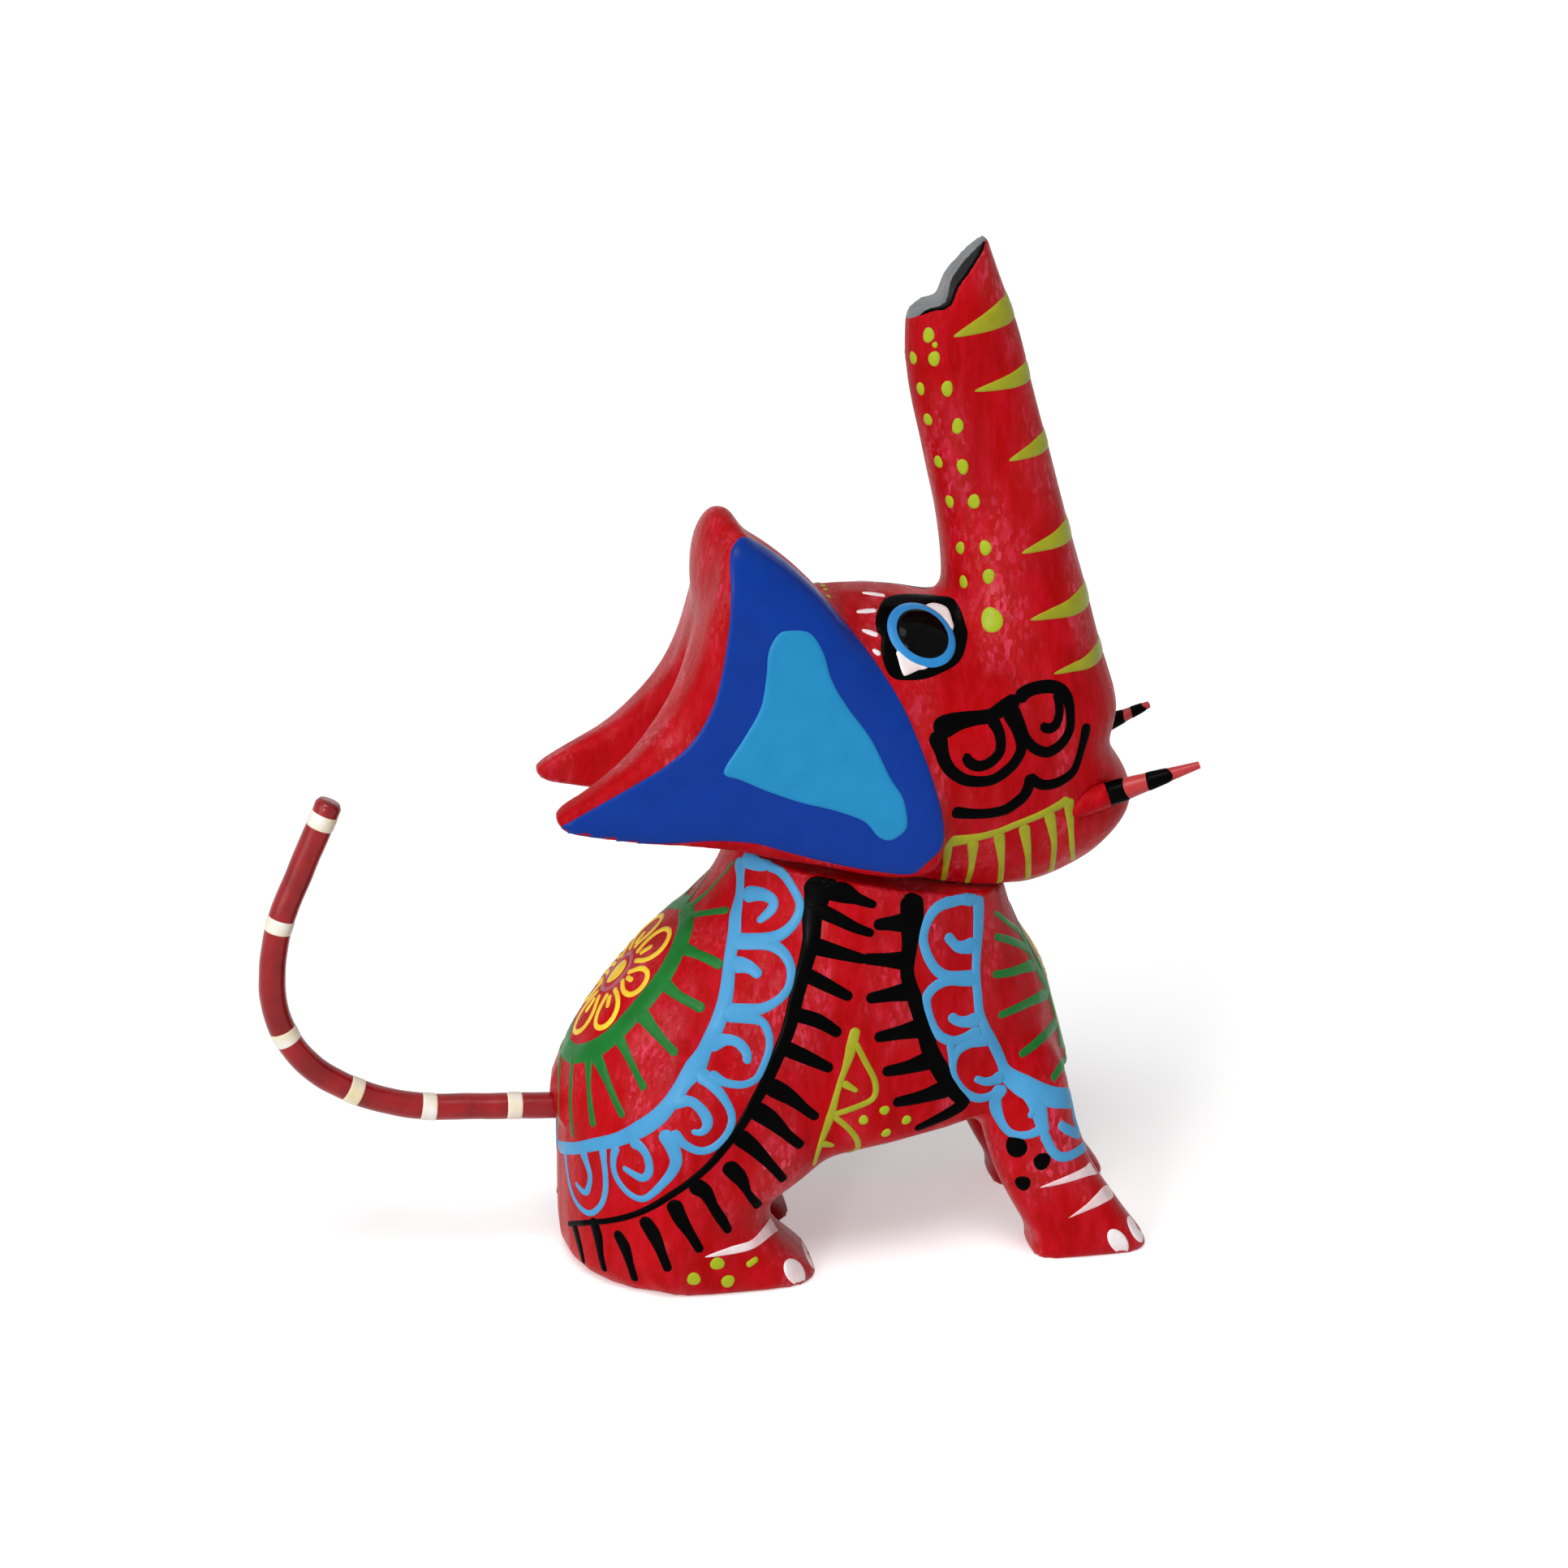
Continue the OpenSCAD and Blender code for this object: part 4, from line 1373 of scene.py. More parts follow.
    chest_scrolls: tuple[Scroll, ...] = (
        Scroll(((1203, 1108), (1187, 1106), (1177, 1109), (1158, 1116), (1146, 1129), (1138, 1150),
                (1139, 1166), (1146, 1184), (1157, 1198), (1172, 1204), (1202, 1204)),
               (1.6, 1.4, 1.1, 0.95, 0.95, 1.0, 1.2, 1.5),
               ((1204, 1162), (1194, 1166), (1181, 1167), (1174, 1161), (1166, 1151)),
               (1.9, 1.3, 1.0, 1.1)),
        Scroll(((1206, 1206), (1187, 1208), (1169, 1208), (1153, 1215), (1142, 1228), (1142, 1244),
                (1149, 1264), (1159, 1277), (1174, 1283), (1189, 1279), (1209, 1269)),
               (1.4, 1.1, 1.0, 1.0, 1.0, 0.95, 1.0, 1.0, 1.4),
               ((1208, 1254), (1197, 1258), (1185, 1259), (1176, 1256), (1170, 1250)),
               (1.8, 1.2, 1.0, 1.0)),
        Scroll(((1223, 1277), (1207, 1282), (1194, 1285), (1181, 1294), (1175, 1306), (1174, 1321),
                (1179, 1334), (1189, 1346), (1203, 1353), (1216, 1352), (1229, 1346), (1240, 1340)),
               (1.8, 1.2, 0.95, 0.85, 0.85, 0.9, 0.9, 1.2),
               ((1237, 1324), (1227, 1330), (1216, 1333), (1207, 1331), (1201, 1328)),
               (1.8, 1.0, 0.8, 0.7)),
        Scroll(((1236, 1338), (1228, 1349), (1226, 1358), (1229, 1373), (1236, 1387), (1245, 1396),
                (1258, 1399), (1272, 1397), (1285, 1390)),
               (1.8, 1.3, 1.2, 1.05, 0.9, 0.8, 0.85, 1.1),
               ((1277, 1363), (1272, 1372), (1267, 1377)), (1.2, 0.8, 0.5)),
        Scroll(((1286, 1396), (1291, 1407), (1296, 1417), (1305, 1425), (1316, 1425), (1328, 1419),
                (1338, 1411)),
               (1.1, 1.0, 1.0, 0.95, 0.95, 1.0),
               ((1320, 1356), (1324, 1378), (1329, 1396), (1321, 1394), (1311, 1389), (1305, 1383)),
               (1.3, 0.8, 0.9, 1.1, 1.05, 0.9)),
    )
    chest_spur: Line = ((1171, 1284), (1173, 1298), (1174, 1313))
    chest_spur_w: Widths = (1.1, 0.85, 0.85)
    chest_branch: Line = ((1263, 1338), (1274, 1351), (1280, 1367), (1284, 1385), (1287, 1400))
    chest_branch_w: Widths = (2.2, 2.0, 1.8, 1.4, 1.2)
    chest_ring: Line = (
        (1225, 1123), (1240, 1135), (1256, 1148), (1266, 1167), (1274, 1186), (1285, 1206), (1294, 1224),
        (1302, 1244), (1307, 1264), (1311, 1291), (1314, 1309))
    chest_ring_w: Widths = (0.5, 0.7, 0.9, 1.1, 1.3, 1.3, 1.3, 1.2, 1.0, 0.8)
    chest_rays: tuple[Line, ...] = (
        ((1225, 1154), (1240, 1157), (1258, 1164), (1268, 1170)),
        ((1223, 1201), (1245, 1198), (1263, 1192), (1276, 1188)),
        ((1230, 1252), (1249, 1244), (1272, 1233), (1291, 1223)),
        ((1256, 1301), (1272, 1289), (1290, 1273), (1305, 1255)),
        ((1296, 1331), (1305, 1318), (1313, 1306)))
    chest_ray_w: Widths = (0.75, 0.85, 0.95, 1.4)
    back_line: Line = (
        (1006, 1080), (1007, 1104), (1001, 1126), (1000, 1155), (995, 1178), (988, 1204), (982, 1226),
        (972, 1267), (960, 1297), (945, 1331), (928, 1362), (912, 1389), (895, 1411), (876, 1434),
        (851, 1456), (826, 1473), (805, 1486), (780, 1497), (751, 1504), (716, 1507), (700, 1508))
    back_line_w: Widths = (3.0, 1.9, 1.5, 1.4, 1.3, 1.2, 1.0, 0.8, 0.7, 0.65, 0.6, 0.55)
    back_dashes: tuple[tuple[Line, Widths], ...] = (
        (((1016, 1086), (1034, 1097), (1058, 1108), (1080, 1116)), (3.6, 2.5, 1.2, 0.65)),
        (((1000, 1117), (1030, 1131), (1054, 1143), (1077, 1151)), (1.6, 1.4, 1.1, 0.75)),
        (((998, 1164), (1034, 1174), (1068, 1183)), (1.9, 1.4, 0.85)),
        (((992, 1200), (1023, 1216), (1050, 1230)), (1.5, 1.3, 0.9)),
        (((980, 1250), (1008, 1258), (1036, 1275)), (1.4, 1.4, 0.95)),
        (((964, 1290), (994, 1303), (1026, 1318)), (1.6, 1.4, 0.9)),
        (((948, 1338), (972, 1351), (995, 1369), (1008, 1378)), (1.9, 1.7, 1.1, 0.85)),
        (((930, 1367), (950, 1380), (972, 1400), (989, 1413)), (2.0, 1.8, 1.1, 0.95)),
        (((910, 1400), (928, 1414), (950, 1436), (967, 1455)), (2.0, 1.5, 1.0, 0.85)),
        (((897, 1437), (912, 1452), (923, 1472), (936, 1487)), (1.7, 1.6, 0.75, 1.0)),
        (((854, 1461), (868, 1468), (879, 1487), (892, 1507), (899, 1519)), (2.0, 1.6, 1.05, 1.1, 0.75)),
        (((830, 1483), (838, 1501), (852, 1523), (864, 1543)), (1.7, 1.5, 1.0, 0.85)),
        (((794, 1504), (805, 1521), (816, 1546), (824, 1567)), (1.3, 1.5, 1.0, 0.85)),
        (((761, 1521), (769, 1535), (776, 1557), (783, 1579)), (1.1, 1.4, 0.9, 0.75)),
        (((731, 1505), (736, 1521), (740, 1546), (745, 1567)), (1.3, 1.4, 0.9, 0.75)),
        (((708, 1511), (713, 1530), (719, 1556)), (1.3, 1.3, 0.7)))
    chest_line: Line = (
        (1123, 1100), (1124, 1129), (1121, 1164), (1118, 1200), (1127, 1230), (1137, 1259), (1146, 1294),
        (1160, 1320), (1177, 1344), (1187, 1358), (1165, 1374), (1127, 1392))
    chest_line_w: Widths = (2.3, 2.4, 1.6, 1.4, 1.5, 1.7, 1.7, 1.8, 1.9, 1.4, 1.2, 0.9)
    chest_dashes: tuple[Line, ...] = (
        ((1115, 1137), (1094, 1138), (1076, 1140)), ((1121, 1184), (1095, 1183), (1062, 1181)),
        ((1121, 1221), (1094, 1226), (1067, 1231)), ((1137, 1266), (1106, 1273), (1077, 1279)),
        ((1148, 1305), (1118, 1315), (1087, 1321)), ((1170, 1339), (1137, 1351), (1100, 1359)))
    chest_dash_w: Widths = (2.3, 1.4, 0.95)
    back_dash_root: float = 5.0
    chest_dash_root: float = 6.0
    zigzag: Line = (
        (1055, 1266), (1051, 1282), (1045, 1306), (1033, 1341), (1024, 1374), (1012, 1407), (1003, 1436))
    zigzag_w: Widths = (1.0, 1.1, 0.65, 0.6, 0.85, 0.6, 0.5)
    zigzag_scallops: tuple[Line, ...] = (
        ((1054, 1284), (1066, 1308), (1078, 1332), (1077, 1352), (1058, 1363), (1026, 1374)),
        ((1028, 1376), (1046, 1391), (1057, 1407), (1053, 1421), (1031, 1431), (1006, 1439)))
    zigzag_spurs: tuple[Line, ...] = (((1038, 1334), (1057, 1345)), ((1012, 1409), (1028, 1412)))
    zigzag_scallop_w: float = 0.6
    zigzag_spur_w: Widths = (0.9, 0.4)
    belly_dots: Dots = Dots(((1064, 1380), (1090, 1368), (1117, 1380), (1092, 1396)), 0.52)
    foot_dots: Dots = Dots(((855, 1576), (884, 1557), (897, 1579)), 0.72)
    foot_dash: Line = ((920, 1560), (934, 1550))
    foot_dash_w: Widths = (0.7, 0.6)
    leg_spots: tuple[Dots, ...] = (
        Dots(((1252, 1413),), 1.2), Dots(((1284, 1431),), 0.92), Dots(((1260, 1458),), 0.86))
    flowers: tuple[Rosette, ...] = (
        Rosette(height=29.0, from_x=-100.0, ring_along=9.2, ring_across=6.4),
        Rosette(height=25.5, from_x=100.0, ring_along=8.4, ring_across=3.4, ring_w=1.3, petal_w=0.4))
    wedges: tuple[Line, ...] = (
        ((868, 1549), (900, 1536), (925, 1528), (940, 1513), (954, 1494), (962, 1500), (969, 1510),
         (955, 1519), (930, 1538), (900, 1546)),
        ((1281, 1463), (1318, 1447), (1336, 1438), (1346, 1430), (1357, 1445), (1342, 1449), (1320, 1456),
         (1300, 1461)),
        ((1316, 1501), (1338, 1484), (1349, 1473), (1363, 1460), (1372, 1474), (1358, 1484), (1340, 1492),
         (1328, 1497)))
    nails: tuple[tuple[Pixel, Pixel, float], ...] = (
        ((979, 1567), (18.0, 12.0), 60.0), ((995, 1545), (20.0, 3.2), 68.0),
        ((1377.5, 1529.5), (17.5, 11.0), 54.0), ((1398.5, 1514.5), (18.5, 6.5), 63.0))

    def paint_borders(self) -> list[Film]:
        """Paints the borders of back and chest with their scrolls.

        Returns:
            The film.
        """
        sky = Film("body_sky_paint", self.wood, Palette.SKY, build_up=0.1)
        sky.stroke(self.back_border, *self.back_border_w)
        sky.stroke(self.chest_border, *self.chest_border_w)
        sky.stroke(self.chest_branch, *self.chest_branch_w)
        sky.stroke(self.chest_spur, *self.chest_spur_w)
        for scroll in (*self.back_scrolls, *self.chest_scrolls):
            scroll.paint(sky)
        return [sky]

    def paint_flowers(self) -> list[Film]:
        """Paints the flowers of back and chest with the rays round them.

        Returns:
            The films.
        """
        green = Film("body_green_paint", self.wood, Palette.GREEN, build_up=0.08)
        for ray, widths in self.back_rays:
            crosses = max(self.wood.under(pixel).y for pixel in ray) > -self.middle_reach * MM
            green.stroke(ray, *widths, sides=(Side.NEAR,) if crosses else Side)
        green.stroke(self.chest_ring, *self.chest_ring_w)
        for ray in self.chest_rays:
            green.stroke(ray, *self.chest_ray_w)
        yellow = Film("body_yellow_paint", self.wood, Palette.YELLOW, build_up=0.1)
        mauve = Film("body_mauve_paint", self.wood, Palette.MAUVE, build_up=0.08)
        for flower in self.flowers:
            flower.paint(green, yellow, mauve)
        return [green, yellow, mauve]

    def paint_lines(self) -> list[Film]:
        """Paints the lines with their dashes, the zigzag and the spots of the leg.

        Returns:
            The films.
        """
        black = Film("body_black_paint", self.wood, Palette.BLACK, build_up=0.11)
        black.stroke(self.back_line, *self.back_line_w)
        black.stroke(self.chest_line, *self.chest_line_w)
        for dash, widths in self.back_dashes:
            black.stroke(rooted(dash, self.back_dash_root), *widths)
        for dash in self.chest_dashes:
            black.stroke(rooted(dash, self.chest_dash_root), *self.chest_dash_w)
        for spot in self.leg_spots:
            spot.paint(black)
        olive = Film("body_olive_paint", self.wood, Palette.OLIVE, build_up=0.09)
        olive.stroke(self.zigzag, *self.zigzag_w)
        for scallop in self.zigzag_scallops:
            olive.stroke(scallop, self.zigzag_scallop_w)
        for spur in self.zigzag_spurs:
            olive.stroke(spur, *self.zigzag_spur_w)
        return [black, olive]

    def paint_feet(self) -> list[Film]:
        """Paints the dots of belly and feet, the dry wedges and the nails.

        Returns:
            The films.
        """
        lime = Film("body_lime_paint", self.wood, Palette.LIME, build_up=0.09)
        self.belly_dots.paint(lime)
        self.foot_dots.paint(lime)
        lime.stroke(self.foot_dash, *self.foot_dash_w)
        dry = Film("body_dry_white_paint", self.wood, Palette.DRY_WHITE, build_up=0.08)
        for wedge in self.wedges:
            dry.fill(wedge, edge=0.15, grid=3.0, depth=6.0)
        white = Film("body_white_paint", self.wood, Palette.WHITE, build_up=0.1)
        for centre, radii, tilt in self.nails:
            white.fill(oval(centre, radii, tilt), edge=0.2, grid=3.0, depth=6.0)
        return [lime, dry, white]

    def dress(self) -> None:
        """Paints the body."""
        marks = [*self.paint_borders(), *self.paint_flowers()]
        for film in (*marks, *self.paint_lines(), *self.paint_feet()):
            film.piece("torso", "body_paint")


@dataclass
class HeadPaint:
    """The ornament of the head, by photograph pixels, on its carved skin."""

    wood: Surface
    ear_blue: Line = (
        (919, 661), (950, 677), (984, 704), (1019, 739), (1053, 780), (1084, 822), (1111, 866), (1131, 910),
        (1149, 958), (1162, 1006), (1162, 1042), (1140, 1066), (1120, 1078), (1070, 1073), (1019, 1063),
        (967, 1050), (929, 1040), (881, 1037), (829, 1040), (778, 1040), (726, 1039), (693, 1030),
        (687, 1021), (706, 1010), (743, 989), (785, 965), (819, 944), (847, 920), (867, 893), (881, 862),
        (891, 820), (898, 772), (900, 731), (899, 688), (905, 669))
    ear_patch: Line = (
        (971, 776), (998, 779), (1015, 803), (1026, 838), (1046, 872), (1074, 910), (1098, 958),
        (1113, 982), (1119, 1010), (1115, 1025), (1098, 1036), (1082, 1032), (1064, 1013), (1029, 1000),
        (984, 989), (943, 975), (912, 962), (893, 956), (893, 944), (915, 910), (936, 872), (943, 834),
        (946, 803), (957, 782))
    far_ear_pivot: float = 47.5
    far_ear_share: float = 0.915
    eye_ground: Line = (
        (1095, 734), (1113, 731), (1135, 731), (1155, 733), (1173, 736), (1183, 748), (1190, 768),
        (1193, 783), (1188, 806), (1178, 820), (1160, 830), (1141, 837), (1122, 839), (1102, 837),
        (1091, 825), (1085, 803), (1085, 785), (1080, 778), (1078, 766), (1080, 755), (1086, 741))
    eye_white: Line = (
        (1104, 801), (1105, 812), (1110, 829), (1114, 834), (1121, 832), (1132, 827), (1143, 824),
        (1160, 805), (1175, 777), (1174, 764), (1166, 747), (1142, 744), (1120, 770))
    iris_centre: Pixel = (1135.0, 783.0)
    iris_px: Pixel = (47.5, 35.5)
    pupil_centre: Pixel = (1136.0, 782.0)
    pupil_px: Pixel = (36.0, 27.0)
    eye_tilt: float = 39.0
    far_eye_out: float = 0.5
    far_eye_drop: float = 0.9
    pupil_rim: float = 0.35
    lash_w: Widths = (0.3, 0.55, 0.45)
    lashes: tuple[tuple[Pixel, Pixel], ...] = (
        ((1062, 730), (1091, 734)), ((1055, 754), (1080, 752)), ((1062, 776), (1082, 783)),
        ((1075, 800), (1085, 807)))
    cheek_lines: tuple[tuple[Line, Widths], ...] = (
        (((1152, 903), (1163, 896), (1180, 889), (1200, 885), (1220, 882), (1235, 873), (1255, 861)),
         (2.4, 2.2, 1.65, 1.4, 1.35, 1.55, 1.6)),
        (((1153, 900), (1159, 921), (1164, 938), (1173, 951), (1189, 961), (1208, 963), (1225, 960),
          (1241, 949), (1252, 937), (1259, 920), (1254, 900), (1247, 886), (1240, 875)),
         (2.2, 1.35, 1.2, 1.15, 1.05, 1.05, 1.1, 1.25, 1.4)),
        (((1220, 884), (1229, 897), (1233, 911), (1232, 926), (1222, 938), (1209, 944), (1198, 942),
          (1192, 935), (1195, 929)), (1.4, 1.1, 1.0, 1.0, 1.05, 1.1, 1.2)),
        (((1253, 863), (1265, 852), (1280, 847), (1297, 846), (1310, 852), (1317, 865), (1319, 883),
          (1318, 899), (1310, 914), (1298, 924), (1288, 927), (1275, 922), (1264, 911), (1258, 897),
          (1252, 882), (1248, 870)),
         (1.5, 1.25, 1.3, 1.2, 0.95, 0.95, 1.0, 1.05, 1.1, 1.25, 1.3)),
        (((1302, 852), (1305, 866), (1305, 880), (1301, 893), (1291, 898), (1282, 893)),
         (1.2, 0.9, 0.9, 0.95, 1.0, 0.9)),
        (((1339, 891), (1337, 905), (1333, 921), (1328, 938), (1322, 951), (1311, 960), (1298, 966),
          (1284, 967), (1273, 961), (1268, 954)), (1.25, 1.1, 0.9, 0.85, 0.95, 1.0, 1.05, 1.0)),
        (((1268, 954), (1268, 967), (1262, 980), (1252, 989), (1238, 998), (1220, 1002), (1202, 1003),
          (1186, 1002), (1173, 1000)), (1.0, 1.15, 1.15, 1.1, 1.05, 1.05, 1.15, 1.25)))
    jaw_line: Line = (
        (1168, 1038), (1180, 1036), (1204, 1032), (1230, 1025), (1252, 1016), (1280, 1005), (1304, 993),
        (1318, 984))
    jaw_line_w: Widths = (1.5, 1.15, 0.8, 0.75, 0.75, 0.75, 0.85, 1.1)
    jaw_drips: tuple[Line, ...] = (
        ((1168, 1040), (1166, 1064), (1161, 1092)), ((1199, 1039), (1197, 1068), (1190, 1095)),
        ((1231, 1030), (1234, 1064), (1231, 1098)), ((1262, 1020), (1267, 1057), (1266, 1094)),
        ((1293, 1004), (1299, 1040), (1295, 1078)), ((1317, 988), (1320, 1026), (1322, 1060)))
    jaw_drip_w: Widths = (1.3, 0.62, 0.52)
    jaw_drip_root: float = 4.0
    band_step: float = 0.5
    band_tip: float = 0.1
    band_taper: float = 1.2
    band_curve: float = 0.8
    trunk_wedges: tuple[tuple[Pixel, Pixel, float], ...] = (
        ((1172, 416), (1228, 391), 2.5), ((1196, 483), (1252, 467), 1.8), ((1240, 569), (1276, 552), 1.75),
        ((1255, 683), (1306, 662), 2.0), ((1265, 765), (1324, 746), 2.1), ((1293, 832), (1344, 813), 1.6))
    trunk_dots: Dots = Dots(
        ((1144, 413), (1151, 442), (1167, 479), (1180, 525), (1186, 575), (1200, 618), (1214, 675),
         (1218, 710)), 0.58, tall=1.35)
    trunk_small_dots: Dots = Dots(
        ((1125, 441), (1134, 479), (1143, 517), (1156, 569), (1170, 618), (1183, 675), (1187, 717)),
        0.5, tall=1.3)
    brow_dot: Dots = Dots(((1222, 764),), 1.1, tall=1.15)
    tiny_dots: Dots = Dots(((1014, 722), (1021, 735), (1152, 425)), 0.3)
    lip_cut: tuple[Pair, ...] = (
        (25.4, 100.0), (21.73, 95.45), (21.03, 93.5), (19.44, 93.3), (18.17, 92.7), (17.5, 92.15))
    lip_facing: float = 0.84
    lip_reach: float = 0.6
    lip_black_z: Pair = (91.0, 99.8)
    lip_black_y: tuple[float, ...] = (-9.0, -2.0, -1.6, -0.6, 0.2, 0.3, -0.3, -1.1)

    def far_ear(self, point: Vector) -> Vector:
        """Brings a near ear's point down to the far ear, which is carved lower.

        Args:
            point: the point on the near ear.

        Returns:
            The point, still on the near side.
        """
        pivot = self.far_ear_pivot * MM
        z = pivot + (point.z - pivot) * self.far_ear_share if point.z > pivot else point.z
        return Vector((point.x, point.y, z))

    def far_eye(self, point: Vector) -> Vector:
        """Returns a near eye's point brought down to the far eye, which the photograph doesn't show."""
        return point + Vector((0.0, -self.far_eye_out, -self.far_eye_drop)) * MM

    def pupil_dome(self, pixel: Pixel) -> float:
        """Finds the height of the pupil's drop.

        Args:
            pixel: where to find it.

        Returns:
            The height there, as a share of the drop's build-up.
        """
        turned = Matrix.Rotation(math.radians(-self.eye_tilt), 2)
        offset = turned @ (Vector(pixel) - Vector(self.pupil_centre))
        x, y = offset.x / self.pupil_px[0], offset.y / self.pupil_px[1]
        return self.pupil_rim + (1 - self.pupil_rim) * math.sqrt(max(0.0, 1 - x * x - y * y))

    def paint_ears(self) -> list[Film]:
        """Paints both ears.

        Returns:
            The films.
        """
        blue = Film("ear_blue_paint", self.wood, Palette.DEEP_BLUE, build_up=0.11)
        blue.far_shift = self.far_ear
        blue.fill(self.ear_blue)
        sky = Film("ear_sky_paint", self.wood, Palette.EAR_SKY, build_up=0.2)
        sky.far_shift = self.far_ear
        sky.fill(self.ear_patch)
        return [blue, sky]

    def paint_eyes(self) -> list[Film]:
        """Paints both eyes, each layer over the last.

        Returns:
            The films.
        """
        ground = Film("eye_black_paint", self.wood, Palette.BLACK, build_up=0.08)
        white = Film("eye_white_paint", self.wood, Palette.WHITE, build_up=0.14)
        iris = Film("eye_blue_paint", self.wood, Palette.IRIS, build_up=0.2)
        pupil = Film("eye_pupil", self.wood, Palette.PUPIL, build_up=0.55)
        films = [ground, white, iris, pupil]
        for film in films:
            film.far_shift = self.far_eye
        ground.fill(self.eye_ground, grid=4.0)
        white.fill(self.eye_white, grid=3.5)
        for lash in self.lashes:
            white.stroke(lash, *self.lash_w)
        iris.fill(oval(self.iris_centre, self.iris_px, self.eye_tilt), grid=3.5)
        drop = oval(self.pupil_centre, self.pupil_px, self.eye_tilt)
        pupil.fill(drop, edge=0.12, grid=3.0, dome=self.pupil_dome)
        return films

    def paint_face(self) -> list[Film]:
        """Paints the cheeks, the jaw and the trunk.

        Returns:
            The films.
        """
        black = Film("face_black_paint", self.wood, Palette.BLACK, build_up=0.11)
        for line, widths in self.cheek_lines:
            black.stroke(line, *widths)
        olive = Film("face_olive_paint", self.wood, Palette.OLIVE, build_up=0.09)
        olive.stroke(self.jaw_line, *self.jaw_line_w)
        for drip in self.jaw_drips:
            olive.stroke(rooted(drip, self.jaw_drip_root), *self.jaw_drip_w)
        for tip, front, width in self.trunk_wedges:
            self.trunk_band(olive, tip, front, width)
        lime = Film("face_lime_paint", self.wood, Palette.LIME, build_up=0.09)
        for dots in (self.trunk_dots, self.trunk_small_dots, self.brow_dot, self.tiny_dots):
            dots.paint(lime)
        # Painted highlight: a light grey over the cut face of the trunk's tip, where its black paint catches
        # the light
        cut_highlight = Film("lip_grey_paint", self.wood, Palette.GREY, build_up=0.06)
        cut_highlight.coat(self.lip_depth)
        rim = Film("lip_black_paint", self.wood, Palette.BLACK, build_up=0.12)
        rim.coat(self.lip_black_depth)
        return [black, olive, lime, cut_highlight, rim]

    def lip_depth(self, place: Vector, normal: Vector) -> float:
        """Finds how far a place lies inside the cut across the trunk's tip.

        Args:
            place: a place on the skin.
            normal: its outward direction.

        Returns:
            The depth in metres; below zero is outside.
        """
        best = -1.0
        spot = Vector((place.x, place.z))
        for a, b in zip(self.lip_cut, self.lip_cut[1:]):
            start, along = Vector(a) * MM, (Vector(b) - Vector(a)) * MM
            share = min(max((spot - start).dot(along) / along.length_squared, 0.0), 1.0)
            apart = (spot - start - along * share).length
            facing = (normal.x * along.y - normal.z * along.x) / along.length
            best = max(best, min(self.lip_reach * MM - apart, (facing - self.lip_facing) * MM))
        return best

    def lip_black_depth(self, place: Vector, normal: Vector) -> float:
        """Finds how far a place lies inside the black along the near rim of the cut.

        Args:
            place: a place on the skin.
            normal: its outward direction.

        Returns:
            The depth in metres; below zero is outside.
        """
        low, high = self.lip_black_z
        edge = spread(self.lip_black_y, (place.z / MM - low) / (high - low)) * MM
        return min(edge - place.y, self.lip_depth(place, normal))

    def trunk_band(self, film: Film, tip: Pixel, front: Pixel, width: float) -> None:
        """Paints a band over the trunk's front that runs to a point on each side.

        Args:
            film: the film to add to.
            tip: pixel of the near point.
            front: pixel of its middle line, near the edge of the trunk's front.
            width: width at the front, in millimetres.
        """
        start = film.wood.under(tip)
        edge = film.wood.under(front)
        middle = film.wood.snap(Vector((edge.x, 0.0, edge.z)))[0]
        near = [start, start.lerp(edge, 0.5), edge]
        far = [Vector((p.x, -p.y, p.z)) for p in reversed(near)]
        line = spline([*near, middle, *far], self.band_step * MM)
        places = [film.wood.snap(Vector(p))[0] for p in line]
        taper = (edge - start).length * self.band_taper
        widths = []
        for place in places:
            reach = min((place - start).length, (place - far[-1]).length) / taper
            widths.append(max(self.band_tip, width * min(1.0, reach) ** self.band_curve) * MM)
        film.ribbon(places, widths)

    def dress(self) -> None:
        """Paints the head."""
        for film in (*self.paint_ears(), *self.paint_eyes(), *self.paint_face()):
            film.piece("head", "head_paint")


